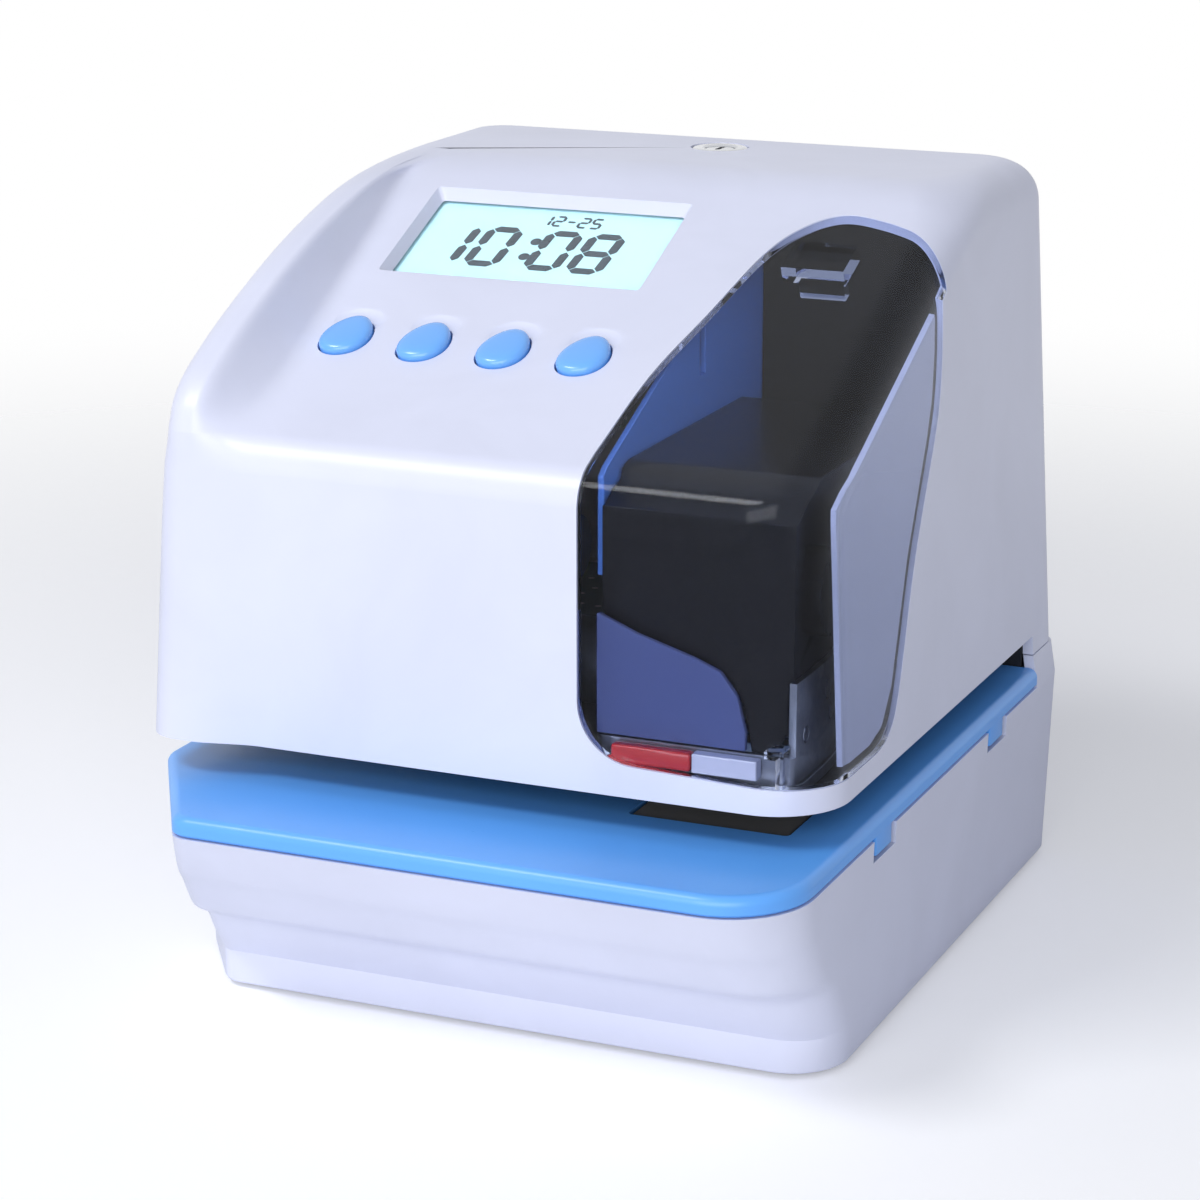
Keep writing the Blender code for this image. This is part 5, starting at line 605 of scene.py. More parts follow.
def metal(name, colour, roughness=0.35, spangle=0.0, brush=(1.0, 1.0, 1.0), shine=1.0):
    """Metal: a zinc spangle of flat crystals, or a ground lay along one axis, with mottled roughness."""
    material, tree, output, place = start_material(name)
    lay_place = add(tree, "ShaderNodeMapping", {"Scale": brush}, {"Vector": place})
    lay = add(tree, "ShaderNodeTexNoise", {"Scale": 900.0, "Detail": 4.0, "Roughness": 0.6},
              {"Vector": lay_place.outputs["Vector"]})
    mottle = add(tree, "ShaderNodeTexNoise", {"Scale": 90.0, "Detail": 3.0}, {"Vector": place})
    tone = ramp(tree, mottle.outputs["Fac"], (0.3, shade(colour, 0.88)[:3]), (0.7, shade(colour, 1.06)[:3]))
    rough = ramp(tree, lay.outputs["Fac"], (0.35, roughness * 0.8), (0.65, roughness * 1.25))
    if spangle:
        crystals = add(tree, "ShaderNodeTexVoronoi", {"Scale": 1 / spangle}, {"Vector": place})
        grey = add(tree, "ShaderNodeSeparateColor", links={"Color": crystals.outputs["Color"]})
        level = ramp(tree, grey.outputs["Red"], (0.0, 0.86), (1.0, 1.08))
        tone = add(tree, "ShaderNodeMix", {"Factor": 1.0}, {"A": tone, "B": level}, data_type="RGBA",
                   blend_type="MULTIPLY")
        tone = tone.outputs[2]
    bump = add(tree, "ShaderNodeBump", {"Strength": 0.2, "Distance": 0.00001}, {"Height": lay.outputs["Fac"]})
    surface = add(tree, "ShaderNodeBsdfPrincipled", {"Metallic": shine, "IOR": 1.5},
                  {"Base Color": tone, "Roughness": rough, "Normal": bump.outputs["Normal"]})
    tree.links.new(surface.outputs["BSDF"], output.inputs["Surface"])
    return material


def rubber(name, colour):
    """Moulded rubber: matt, finely pitted, with a little dust in the pits."""
    material, tree, output, place = start_material(name)
    pits = add(tree, "ShaderNodeTexVoronoi", {"Scale": 2200.0}, {"Vector": place})
    dust = add(tree, "ShaderNodeTexNoise", {"Scale": 160.0, "Detail": 5.0}, {"Vector": place})
    tone = ramp(tree, dust.outputs["Fac"], (0.45, shade(colour, 1.0)[:3]), (0.75, shade(colour, 1.08)[:3]))
    bump = add(tree, "ShaderNodeBump", {"Strength": 0.5, "Distance": 0.00003},
               {"Height": pits.outputs["Distance"]})
    surface = add(tree, "ShaderNodeBsdfPrincipled", {"Roughness": 0.78, "IOR": 1.5, "Sheen Weight": 0.15},
                  {"Base Color": tone, "Normal": bump.outputs["Normal"]})
    tree.links.new(surface.outputs["BSDF"], output.inputs["Surface"])
    return material


def board(name, colour):
    """Circuit board: solder mask over copper tracks that run in squares, with bare pads."""
    material, tree, output, place = start_material(name)
    tracks = add(tree, "ShaderNodeTexBrick", {"Scale": 1.0, "Mortar Size": 0.00025, "Brick Width": 0.0052,
                                              "Row Height": 0.0016, "Mortar Smooth": 0.1}, {"Vector": place})
    pads = add(tree, "ShaderNodeTexVoronoi", {"Scale": 240.0, "Randomness": 0.55}, {"Vector": place})
    dots = ramp(tree, pads.outputs["Distance"], (0.16, 1.0), (0.20, 0.0))
    mask = add(tree, "ShaderNodeMix", links={"Factor": tracks.outputs["Fac"]}, data_type="RGBA")
    mask.inputs[6].default_value = shade(colour, 1.0)
    mask.inputs[7].default_value = shade(colour, 1.12)
    tone = add(tree, "ShaderNodeMix", links={"Factor": dots, 6: mask.outputs[2]}, data_type="RGBA")
    tone.inputs[7].default_value = (0.62, 0.60, 0.55, 1)
    bump = add(tree, "ShaderNodeBump", {"Strength": 0.4, "Distance": 0.00004},
               {"Height": tracks.outputs["Fac"]})
    surface = add(tree, "ShaderNodeBsdfPrincipled", {"Roughness": 0.3, "IOR": 1.52, "Coat Weight": 0.4},
                  {"Base Color": tone.outputs[2], "Metallic": dots, "Normal": bump.outputs["Normal"]})
    tree.links.new(surface.outputs["BSDF"], output.inputs["Surface"])
    return material


def woven(name, colour, pitch=0.00035):
    """Inked nylon ribbon: two crossed sine weaves, darker where the ink has pooled."""
    material, tree, output, place = start_material(name)
    across = add(tree, "ShaderNodeTexWave", {"Scale": 1 / (20 * pitch) * 2 * math.pi}, {"Vector": place},
                 bands_direction="X")
    along = add(tree, "ShaderNodeTexWave", {"Scale": 1 / (20 * pitch) * 2 * math.pi}, {"Vector": place},
                bands_direction="Y")
    weave = add(tree, "ShaderNodeMath", links={0: across.outputs["Fac"], 1: along.outputs["Fac"]},
                operation="MAXIMUM")
    pool = add(tree, "ShaderNodeTexNoise", {"Scale": 300.0, "Detail": 3.0}, {"Vector": place})
    tone = ramp(tree, pool.outputs["Fac"], (0.35, shade(colour, 0.7)[:3]), (0.7, shade(colour, 1.04)[:3]))
    bump = add(tree, "ShaderNodeBump", {"Strength": 0.8, "Distance": 0.00005},
               {"Height": weave.outputs["Value"]})
    surface = add(tree, "ShaderNodeBsdfPrincipled", {"Roughness": 0.6, "Sheen Weight": 0.3},
                  {"Base Color": tone, "Normal": bump.outputs["Normal"]})
    tree.links.new(surface.outputs["BSDF"], output.inputs["Surface"])
    return material


def display_ground(name, colour):
    """Reflector of a liquid crystal display: pearly film, with a broad tone that varies at random."""
    material, tree, output, place = start_material(name)
    pearl = add(tree, "ShaderNodeTexNoise", {"Scale": 5000.0, "Detail": 1.0}, {"Vector": place})
    broad = add(tree, "ShaderNodeTexNoise", {"Scale": 25.0, "Detail": 2.0}, {"Vector": place})
    tone = ramp(tree, broad.outputs["Fac"], (0.3, shade(colour, 0.96)[:3]), (0.7, shade(colour, 1.05)[:3]))
    bump = add(tree, "ShaderNodeBump", {"Strength": 0.15, "Distance": 0.00001},
               {"Height": pearl.outputs["Fac"]})
    surface = add(tree, "ShaderNodeBsdfPrincipled",
                  {"Roughness": 0.5, "Coat Weight": 0.2, "Coat Roughness": 0.05},
                  {"Base Color": tone, "Normal": bump.outputs["Normal"]})
    tree.links.new(surface.outputs["BSDF"], output.inputs["Surface"])
    return material


MATERIALS = {}


def make_materials():
    c = sizes("colour")
    MATERIALS.update(
        housing=moulded("abs_white_spark_eroded", c.housing, 0.36, 0.00040, 0.000014),
        deck=moulded("abs_blue_satin", c.deck, 0.33, 0.00030, 0.000008),
        key=moulded("abs_blue_key_polished", c.key, 0.24, 0.00040, 0.000003, coat=0.25),
        liner=moulded("abs_light_blue_satin", c.liner, 0.42, 0.00030, 0.000012),
        black=moulded("abs_black_satin", c.black, 0.26, 0.00030, 0.000004, specular=0.3),
        matt=moulded("abs_black_matt", c.black, 0.62, 0.00030, 0.000002, specular=0.08),
        shield=moulded("abs_slate_satin", c.shield, 0.34, 0.00030, 0.000004, specular=0.3),
        grey=moulded("abs_pale_grey_satin", c.grey, 0.38, 0.00030, 0.000010),
        red=moulded("abs_red_gloss", c.red, 0.20, 0.00040, 0.000003, coat=0.5),
        smoke=smoke_window("polycarbonate_smoke_clear", c.smoke, 1.2),
        steel=metal("steel_zinc_spangled", c.steel, 0.38, spangle=0.0045),
        dark_steel=metal("steel_blackened", c.dark_steel, 0.42, shine=0.8),
        bright_steel=metal("steel_ground_bright", c.bright_steel, 0.22, brush=(1.0, 12.0, 12.0)),
        rubber=rubber("rubber_black_pitted", c.rubber),
        board=board("board_green_solder_mask", c.board),
        ribbon=woven("nylon_ribbon_inked", c.fabric),
        side=moulded("abs_side_lining_satin", c.housing, 0.40, 0.00030, 0.000010),
        display=display_ground("display_pearl_reflector", c.glass),
        display_cover=smoke_window("display_cover_float", (0.96, 0.98, 0.99), 1.2),
        segment=moulded("display_segment_dark", c.segment, 0.3, 0.0006, 0.000001),
    )


# Head cover: one section formula for the shell and the window

def panel_slope():
    head, body = sizes("head"), sizes("body")
    return math.atan2(body.height - head.panel_start, head.panel_back - panel_front())


def panel_front():
    head = sizes("head")
    return head.front + head.draft * (head.panel_start - head.bottom)


def panel_height(y):
    return sizes("head").panel_start + (y - panel_front()) * math.tan(panel_slope())


def panel_place(x, y, lift=0.0):
    """Frame on the panel: X across, Y up the slope, Z out of it."""
    place = Matrix.Translation((x, y, panel_height(y))) @ Matrix.Rotation(panel_slope(), 4, "X")
    return place @ Matrix.Translation((0, 0, lift))


def panel_line():
    """(y, z) samples of front wall, bend, slope and crest: straight runs joined by true arcs."""
    head, body = sizes("head"), sizes("body")
    low = head.bottom - 0.02
    foot = (head.front + head.draft * (low - head.bottom), low)
    corners = np.array([foot, (panel_front(), head.panel_start),
                        (head.panel_back, body.height), (body.rear, body.height), (body.rear, low)])
    line = filleted(corners, [0, head.bend, head.crest, 0, 0], 16)[0]
    return line[17:51]


def fender_line():
    """(y, z) samples of the raised left edge: a monotone curve through its shares."""
    head, body = sizes("head"), sizes("body")
    start = head.panel_start + head.fender_rise
    front = head.front + head.draft * (start - head.bottom)
    run = head.panel_back + head.fender_reach - front
    x, height = smooth_line([(h, l) for l, h in FENDER_SHARES], 90)
    line = np.stack([front + height * run, start + x * (body.height - start)], -1)
    low = head.bottom - 0.02
    return np.vstack([[head.front + head.draft * (low - head.bottom), low], line])


def wall_place(line, z, inset):
    """Y of a front line at heights z, moved one wall in and one wall down."""
    here = np.interp(z, line[:, 1], line[:, 0])
    if inset <= 0:
        return here
    lifted = np.interp(z + inset / math.cos(panel_slope()), line[:, 1], line[:, 0])
    return np.maximum(lifted, here + inset)


def edge_roll(z, radius, inset):
    """How far a wall leans in where its top edge is a quarter round: r - sqrt(r^2 - climb^2)."""
    climb = np.maximum(z - (sizes("body").height - radius), 0.0)
    small = radius - inset
    return small - np.sqrt(np.maximum(small * small - climb * climb, 0.0))


def head_rings(z, inset=0.0):
    """The head's outline at each height: drafted walls, four round corners, fender rim and groove."""
    head, body = sizes("head"), sizes("body")
    panel_curve, fender_curve = panel_line(), fender_line()
    half = head.half - head.draft * (z - head.bottom) - inset
    right = half - edge_roll(z, head.shoulder, inset)
    left = -half + edge_roll(z, head.fender_edge, inset)
    rear = body.rear - head.draft * (z - body.parting) - inset - edge_roll(z, head.rear_corner, inset)
    panel = wall_place(panel_curve, z, inset)
    fender = wall_place(fender_curve, z, inset)
    share = np.clip((z - head.panel_start + head.bend) / (1.5 * head.bend), 0, 1)
    blend = share * share * (3 - 2 * share)
    across = head.corner + (head.shoulder - head.corner) * blend - inset
    along = head.corner + (head.shoulder / math.sin(panel_slope()) - head.corner) * blend - inset
    left_across = head.left_corner + (head.fender_edge - head.left_corner) * blend - inset
    left_along = head.left_corner + (2 * head.fender_edge - head.left_corner) * blend - inset
    rear_radius = np.full_like(z, head.rear_corner - inset)
    length = head.panel_back - panel_front()
    places, widths = smooth_line(GROOVE_SHARES)
    groove = -head.half * np.interp((panel - panel_front()) / length, places, widths)
    join = np.stack
    rim = join([np.full_like(z, head.fender_rim - inset), fender], -1)
    foot = join([groove - inset, panel], -1)
    fender_start = join([left + left_across, fender], -1)
    panel_end = join([right - across, panel], -1)
    rim_curve = bent(rim, fender_start, foot, head.rim_round, head.wall_round)
    foot_curve = bent(foot, rim, panel_end, head.wall_round, head.groove_round)
    rear_right = quarter(right - rear_radius, rear - rear_radius, rear_radius, rear_radius, 0, 6)
    rear_left = quarter(left + rear_radius, rear - rear_radius, rear_radius, rear_radius, 1, 6)
    front_left = quarter(left + left_across, fender + left_along, left_across, left_along, 2, 12)
    front_right = quarter(right - across, panel + along, across, along, 3, 16)
    parts = [rear_right, straight(rear_right[:, -1], rear_left[:, 0], 6), rear_left,
             straight(rear_left[:, -1], front_left[:, 0], 30), front_left,
             straight(front_left[:, -1], rim_curve[:, 0], 3), rim_curve,
             straight(rim_curve[:, -1], foot_curve[:, 0], 4), foot_curve,
             straight(foot_curve[:, -1], front_right[:, 0], 36), front_right,
             straight(front_right[:, -1], rear_right[:, 0], 30)]
    return with_height(np.concatenate(parts, axis=1), z)


def head_heights(crown, steps=1.0):
    """Heights of the rings: close in the bend, on the crest and in the rolled edges, where the form turns."""
    head, body = sizes("head"), sizes("body")
    curve = panel_line()
    bend = curve[:17, 1]
    crest = curve[17:, 1]
    low = np.linspace(head.bottom, bend[0], 6)
    slope = np.linspace(bend[-1], crest[0], max(int(44 * steps), 8))
    roll = body.height - head.shoulder * (1 - np.sin(np.linspace(0, math.pi / 2, 20)))
    z = np.unique(np.concatenate([[body.parting], low, bend, slope, crest, roll]).round(6))
    z = z[z < crown - 2e-5]
    keep = np.concatenate([[True], np.diff(z) > 4e-5])
    return np.append(z[keep], crown)


def head_skin(name, thickness):
    """A shell of the head: the section formula outside, and again one thickness in."""
    body = sizes("body")
    z = head_heights(body.height)
    inner = (z - z[0]) / (z[-1] - z[0]) * (body.height - thickness - z[0]) + z[0]
    return skin(name, head_rings(z), head_rings(inner, thickness))


def window_bounds(gap):
    """The window's smooth outlines in plan, from the front and from the side, drawn in by a gap."""
    head, body = sizes("head"), sizes("body")
    left, back = head.window_left + gap, head.window_back - gap
    out, far = body.half + OVERRUN, body.front - OVERRUN
    start = panel_front() + head.bend
    curve = through(WINDOW_TOP_SHARES)
    across, along = curve[:, 0] * (head.half - head.window_left), curve[:, 1] * (back - start)
    top = np.stack([left + across, start + along], -1)
    plan = np.vstack([[(out, far), (left, far)], top, [(out, top[-1, 1])]])
    high = body.height + OVERRUN
    floor_line = [(left, high), (left, head.window_floor + gap), (body.half, head.window_side_floor + gap),
                  (out, head.window_side_floor + gap), (out, high)]
    front = filleted(floor_line, [0, head.window_corner - gap, 0, 0, 0], 14)[0]
    side_back = head.window_side_back - gap
    low = head.window_side_floor + gap
    climb = panel_height(head.window_side_back) - head.window_side_drop - low
    curve = through(WINDOW_SIDE_SHARES)
    line = np.stack([head.front + curve[:, 0] * (side_back - head.front), low + curve[:, 1] * climb], -1)
    side = np.vstack([[(far, low)], line, [(body.rear, high), (far, high)]])
    return plan, front, side


def window_block(name, gap):
    """The space of the window: its three outlines thickened and crossed."""
    body = sizes("body")
    plan, front, side = window_bounds(gap)
    block = prism(name, plan, 0.0, body.height + 0.02)
    others = [prism(name + "_front", front, body.front - 0.02, body.rear, plane="XZ"),
              prism(name + "_side", side, -body.half, body.half + 0.04, plane="YZ")]
    return combine(block, others, "INTERSECT")


def display_cutter():
    """Frustum whose walls slope from the outer size at the panel to the sight size one wall down."""
    panel, wall = sizes("panel"), sizes("body").wall
    slope_x = (panel.opening_width - panel.sight_width) / 2 / wall
    slope_y = (panel.opening_length - panel.sight_length) / 2 / wall
    outlines, heights = [], [-2 * wall, 2 * wall]
    for z in heights:
        x, y = panel.opening_width / 2 + z * slope_x, panel.opening_length / 2 + z * slope_y
        outlines.append([(x, y), (-x, y), (-x, -y), (x, -y)])
    rings = with_height(filleted(np.array(outlines), 0.0009, 4), heights)
    return lofted("display_cutter", rings, panel_place(panel.display_x, panel.display_y))


def key_outline(grow=0.0, count=72):
    """Egg: an ellipse narrowed towards its upper end by 1 - point sin(a), leant right by point sin(a)."""
    panel = sizes("panel")
    a = np.linspace(0, 2 * math.pi, count, endpoint=False)
    lean = panel.key_point * np.sin(a)
    x = (panel.key_width / 2 + grow) * np.cos(a) * (1 - lean) + panel.key_width / 2 * lean
    return np.stack([x, (panel.key_length / 2 + grow) * np.sin(a)], -1)


def key_dish(name, place):
    """Finger dish round the upper end of a key: a cap of a sphere, r = sqrt(2 R d), drawn in sideways."""
    panel = sizes("panel")
    reach, depth, over = panel.dish_reach, panel.dish_depth, 0.002
    ball = (reach * reach + depth * depth) / (2 * depth)
    fall = np.linspace(0.0, 1.0, 14) ** 2 * (depth + over)
    profile = [(math.sqrt(max(2 * ball * d - d * d, 1e-9)), d - depth) for d in fall[1:]]
    frame_here = place @ Matrix.Translation((0, panel.key_length * 0.46, 0)) @ Matrix.Diagonal((1, 0.8, 1, 1))
    return turned(name, [(profile[0][0] * 0.5, -depth)] + profile, 40, frame_here)


def key_places():
    panel = sizes("panel")
    return [panel_place(panel.key_first + i * panel.key_pitch, panel.key_y) for i in range(panel.key_count)]


def cylinder_cutter(name, centre, radius, low, high, axis="Z", sides=48):
    profile = [(radius, low), (radius, high)]
    turn = {"Z": Matrix.Identity(4), "X": Matrix.Rotation(math.pi / 2, 4, "Y")}[axis]
    return turned(name, profile, sides, Matrix.Translation(centre) @ turn)


def make_head_cover():
    """The white cover: its dense skin with the throat, window, display, keys and lock cut out."""
    head, body, panel = sizes("head"), sizes("body"), sizes("panel")
    cover = head_skin("head_cover", body.wall)
    tools = [box_piece("throat_cutter", (-body.half - OVERRUN, body.front - OVERRUN, 0.03),
                       (body.half + OVERRUN, body.column_front, head.bottom)),
             window_block("window_cutter", 0.0), display_cutter()]
    for i, place in enumerate(key_places()):
        outline = key_outline(panel.key_gap)
        tools.append(prism(f"key_cutter_{i}", outline, -2 * body.wall, 2 * body.wall, matrix=place))
    lock = (panel.lock_x, panel.lock_y, body.height)
    tools.append(cylinder_cutter("lock_cutter", lock, panel.lock_barrel + body.gap, -OVERRUN, OVERRUN))
    seat_low = -panel.lock_sink - body.gap
    tools.append(cylinder_cutter("lock_seat_cutter", lock, panel.lock_flange + body.gap, seat_low, OVERRUN))
    tools += [key_dish(f"dish_cutter_{i}", place) for i, place in enumerate(key_places())]
    combine(cover, tools)
    finish_mesh(cover, 28.0)
    return seat(cover, "upper_cover", MATERIALS["housing"], ("cover_shell",))


def make_window():
    """The clear cover: the same skin, kept inside the window's space, with its latch and hook."""
    head, body = sizes("head"), sizes("body")
    pane = head_skin("window_pane", head.window_thickness)
    combine(pane, [window_block("window_keeper", body.gap)], "INTERSECT")
    latch = panel_place(head.latch_x, head.latch_y)
    wide, deep, drop = LATCH_SIZE
    half_skin = head.window_thickness / 2
    front = head.front + half_skin
    hook_z = head.bottom + HOOK_RISE
    block = box_piece("latch_block", (-wide / 2, -deep / 2, -half_skin * 2 - drop / 2),
                      (wide / 2, deep / 2, -half_skin), 0.0, latch)
    tongue = box_piece("latch_tongue", (-wide / 4, -deep / 2, -half_skin * 2 - drop),
                       (wide / 2 - 0.0004, -deep / 4, -half_skin * 1.1), 0.0, latch)
    arm = box_piece("hook_arm", (head.hook_x - 0.0020, front, hook_z + 0.0075),
                    (head.hook_x + 0.0020, head.hook_end, hook_z + 0.0091))
    lip = box_piece("hook_lip", (head.hook_x + 0.0004, front + 0.0001, hook_z + 0.0016),
                    (head.hook_x + 0.0019, head.hook_end - 0.0002, hook_z + 0.0083))
    combine(pane, [block, tongue, arm, lip], "UNION")
    finish_mesh(pane, 28.0)
    return seat(pane, "upper_cover", MATERIALS["smoke"], ("window_cover",))


# Base and deck

def base_rings(z, inset=0.0):
    """Plan of the base at each height: three round corners, one cut corner and the front's lean."""
    body, head = sizes("body"), sizes("head")
    top = body.deck_top - body.deck_thickness - body.gap
    skirt_top = body.foot + body.skirt
    rise = np.clip((z - skirt_top) / (top - skirt_top), 0, 1)
    lean = np.interp(rise, *smooth_line(BASE_LEAN_SHARES))
    share = np.minimum(z / top, 1.0)
    narrow = body.half - (head.half - head.draft * (body.parting - head.bottom))
    half = body.half - body.side_lean * (1 - share) - inset
    half = half - np.maximum(z - top, 0.0) / (body.parting - top) * narrow
    front = body.front + body.front_lean * (1 - lean) + inset
    rear = body.rear - body.rear_lean * (1 - share) - inset
    corner = body.skirt_corner + (body.corner - body.skirt_corner) * rise - inset
    long = body.skirt_cut_length + (body.cut_length - body.skirt_cut_length) * rise - inset / 2
    wide = body.skirt_cut_width + (body.cut_width - body.skirt_cut_width) * rise - inset / 2
    corners = np.stack([np.stack(p, -1) for p in (
        (half, rear), (-half, rear), (-half, front + long), (-half + wide, front), (half, front))], 1)
    small = np.broadcast_to(body.rear_radius - np.minimum(inset, body.rear_radius / 2), z.shape)
    cut = np.full_like(z, body.cut_round)
    return with_height(filleted(corners, np.stack([small, small, cut, cut, corner], -1), 10), z)


def foot_places():
    low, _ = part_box("foot_1")
    return [tuple((a + b) / 2 for a, b in zip(*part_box(f"foot_{i}"))) for i in range(1, 5)]


def make_base():
    """The white tub: leaning walls, skirt band, column stub, notches, inlet opening and foot pockets."""
    body = sizes("body")
    top = body.deck_top - body.deck_thickness - body.gap
    skirt_top = body.foot + body.skirt
    z = np.concatenate([[body.foot, body.foot + 0.0003, body.foot + 0.001], np.linspace(skirt_top, top, 44),
                        [body.parting - body.gap]])
    outer = base_rings(z)
    outer[0] = base_rings(z[:1], 0.0009)[0]
    outer[1] = base_rings(z[1:2], 0.00035)[0]
    inner_z = np.concatenate([np.full(3, body.foot + body.wall) + [0, 0.0004, 0.001], z[3:]])
    inner = base_rings(inner_z, body.wall)
    rows, columns, _ = outer.shape
    rings = np.concatenate([outer, inner[::-1]])
    faces = list(ring_faces(len(rings), columns))
    faces.append(range(columns - 1, -1, -1))
    faces.append(range((len(rings) - 1) * columns, len(rings) * columns))
    tub = mesh_piece("base_tub", rings, faces)
    tools = [box_piece("base_throat", (-body.half - OVERRUN, body.front - OVERRUN, top),
                       (body.half + OVERRUN, body.column_front, 0.08))]
    low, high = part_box("power_inlet")
    tools.append(box_piece("inlet_hole", (low[0] - body.gap, body.rear - 2 * body.wall, low[2] - body.gap),
                           (high[0] + body.gap, body.rear + OVERRUN, high[2] + body.gap)))
    for i, (x, y, _) in enumerate(foot_places()):
        tools.append(cylinder_cutter(f"foot_pocket_{i}", (x, y, 0), 0.0073, -0.01, 0.002))
    for i, y in enumerate(TAB_FRONTS):
        for side in (-1, 1):
            inner_x, outer_x = side * (body.half - body.wall - 0.005), side * (body.half + OVERRUN)
            tools.append(box_piece(f"notch_{i}_{side + 1}", (min(inner_x, outer_x), y - NOTCH_MARGIN, 0.0411),
                                   (max(inner_x, outer_x), y + TAB_LENGTH + NOTCH_MARGIN, 0.07)))
    combine(tub, tools)
    finish_mesh(tub, 28.0)
    return seat(tub, "base", MATERIALS["housing"], ("base_housing",))


def make_deck():
    """The blue deck: quarter-round edge, platen opening, the stop's slot and snap tabs."""
    body = sizes("body")
    bottom, edge = body.deck_top - body.deck_thickness, body.deck_round
    turn = np.linspace(0, math.pi / 2, 9)
    z = np.concatenate([[bottom, bottom + 0.0005], body.deck_top - edge + edge * np.sin(turn)])
    inset = np.concatenate([[0.0005, 0.0], edge * (1 - np.cos(turn))])
    level = np.array([body.deck_top - body.deck_thickness - body.gap])
    rings = np.concatenate([base_rings(level, i) for i in inset])
    rings[..., 2] = z[:, None]
    deck = lofted("paper_deck", rings)
    low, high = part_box("platen_pad")
    stop_low, stop_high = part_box("paper_stop")
    tools = [box_piece("deck_rear", (-body.half - OVERRUN, body.column_front - body.gap, 0.02),
                       (body.half + OVERRUN, body.rear + OVERRUN, 0.09)),
             box_piece("deck_platen", (low[0] - 0.0006, low[1] - 0.0006, 0.02),
                       (high[0] + 0.0006, high[1] + 0.0006, 0.09), 0.0012),
             box_piece("deck_slot", (-0.0033, 0.0257, 0.02), (0.0033, 0.0703, 0.09), 0.0008)]
    combine(deck, tools)
    tabs = []
    for i, y in enumerate(TAB_FRONTS):
        for side in (-1, 1):
            a, b = side * (body.half - body.gap), side * (body.half - body.gap - 0.0017)
            tabs.append(box_piece(f"tab_{i}_{side + 1}", (min(a, b), y, bottom - 0.004),
                                  (max(a, b), y + TAB_LENGTH, bottom + body.deck_thickness / 4), 0.0005))
    combine(deck, tabs, "UNION")
    finish_mesh(deck, 28.0)
    return seat(deck, "base", MATERIALS["deck"], ("deck_plate",))


# Display, keys and lock

SEGMENT_SHARES = {"a": (0, 1, 1, 1), "b": (1, 0.5, 1, 1), "c": (1, 0, 1, 0.5), "d": (0, 0, 1, 0),
                  "e": (0, 0, 0, 0.5), "f": (0, 0.5, 0, 1), "g": (0, 0.5, 1, 0.5)}
DIGITS = {"0": "abcdef", "1": "bc", "2": "abged", "3": "abgcd", "4": "fgbc", "5": "afgcd",
          "6": "afgedc", "7": "abc", "8": "abcdefg", "9": "abcdfg", "-": "g"}


def segment_outline(name, width, height, stroke, slant):
    """One bar of a digit: a hexagon whose pointed ends meet its neighbours at 45 degrees."""
    x0, y0, x1, y1 = SEGMENT_SHARES[name]
    start = np.array([x0 * width, y0 * height])
    end = np.array([x1 * width, y1 * height])
    run = end - start
    size = np.linalg.norm(run)
    run = run / size
    side = np.array([-run[1], run[0]])
    gap = stroke * 0.10
    half = stroke / 2
    at = [(gap, 0), (gap + half, half), (size - gap - half, half), (size - gap, 0),
          (size - gap - half, -half),
          (gap + half, -half)]
    points = np.array([start + run * a + side * b for a, b in at])
    points[:, 0] += slant * points[:, 1]
    return points


def text_outlines(text, x, y, width, height, stroke, pitch, slant=0.08):
    """Outlines of a row of digits, with round dots for a colon."""
    outlines = []
    for letter in text:
        if letter == ":":
            for share in (0.28, 0.72):
                a = np.linspace(0, 2 * math.pi, 20, endpoint=False)
                dot = np.stack([stroke * 0.62 * np.cos(a), stroke * 0.62 * np.sin(a)], -1)
                outlines.append(dot + (x + pitch * 0.2 + slant * share * height, y + share * height))
            x += pitch * 0.42
            continue
        for name in DIGITS.get(letter, ""):
            outlines.append(segment_outline(name, width, height, stroke, slant) + (x, y))
        x += pitch
    return outlines


def make_display():
    """The liquid crystal glass: pearly reflector, dark digits printed under a clear cover, and its tray."""
    body, panel = sizes("body"), sizes("panel")
    place = panel_place(panel.display_x, panel.display_y)
    top = -body.wall - body.gap
    half_x, half_y = panel.glass_width / 2, panel.glass_length / 2
    back = box_piece("display_reflector", (-half_x, -half_y, top - panel.glass_thickness),
                     (half_x, half_y, top - 0.0006), 0.0004, place)
    finish_mesh(back)
    seat(back, "upper_cover", MATERIALS["display"], ("lcd_panel",))
    outlines = text_outlines("10:08", -0.0245, -0.0072, 0.0066, 0.0135, 0.0021, 0.0101)
    outlines += text_outlines("12-25", -0.0035, 0.0092, 0.0020, 0.0036, 0.0006, 0.0030)
    points, faces, count = [], [], 0
    for outline in outlines:
        size = len(outline)
        for z in (top - 0.00058, top - 0.00050):
            points.append(np.column_stack([outline, np.full(size, z)]))
        low, high = np.arange(size) + count, np.arange(size) + count + size
        faces += [list(low[::-1]), list(high)]
        faces += [[low[i], low[(i + 1) % size], high[(i + 1) % size], high[i]] for i in range(size)]
        count += 2 * size
    digits = outward(mesh_piece("display_digits", np.vstack(points), faces, place))
    seat(digits, "upper_cover", MATERIALS["segment"])
    cover = box_piece("display_cover_glass", (-half_x, -half_y, top - 0.00045), (half_x, half_y, top),
                      0.0004, place)
    finish_mesh(cover)
    seat(cover, "upper_cover", MATERIALS["display_cover"])
    refined("lcd_frame", MATERIALS["black"], 0.0002)
    refined("keypad_board", MATERIALS["board"], 0.0001)


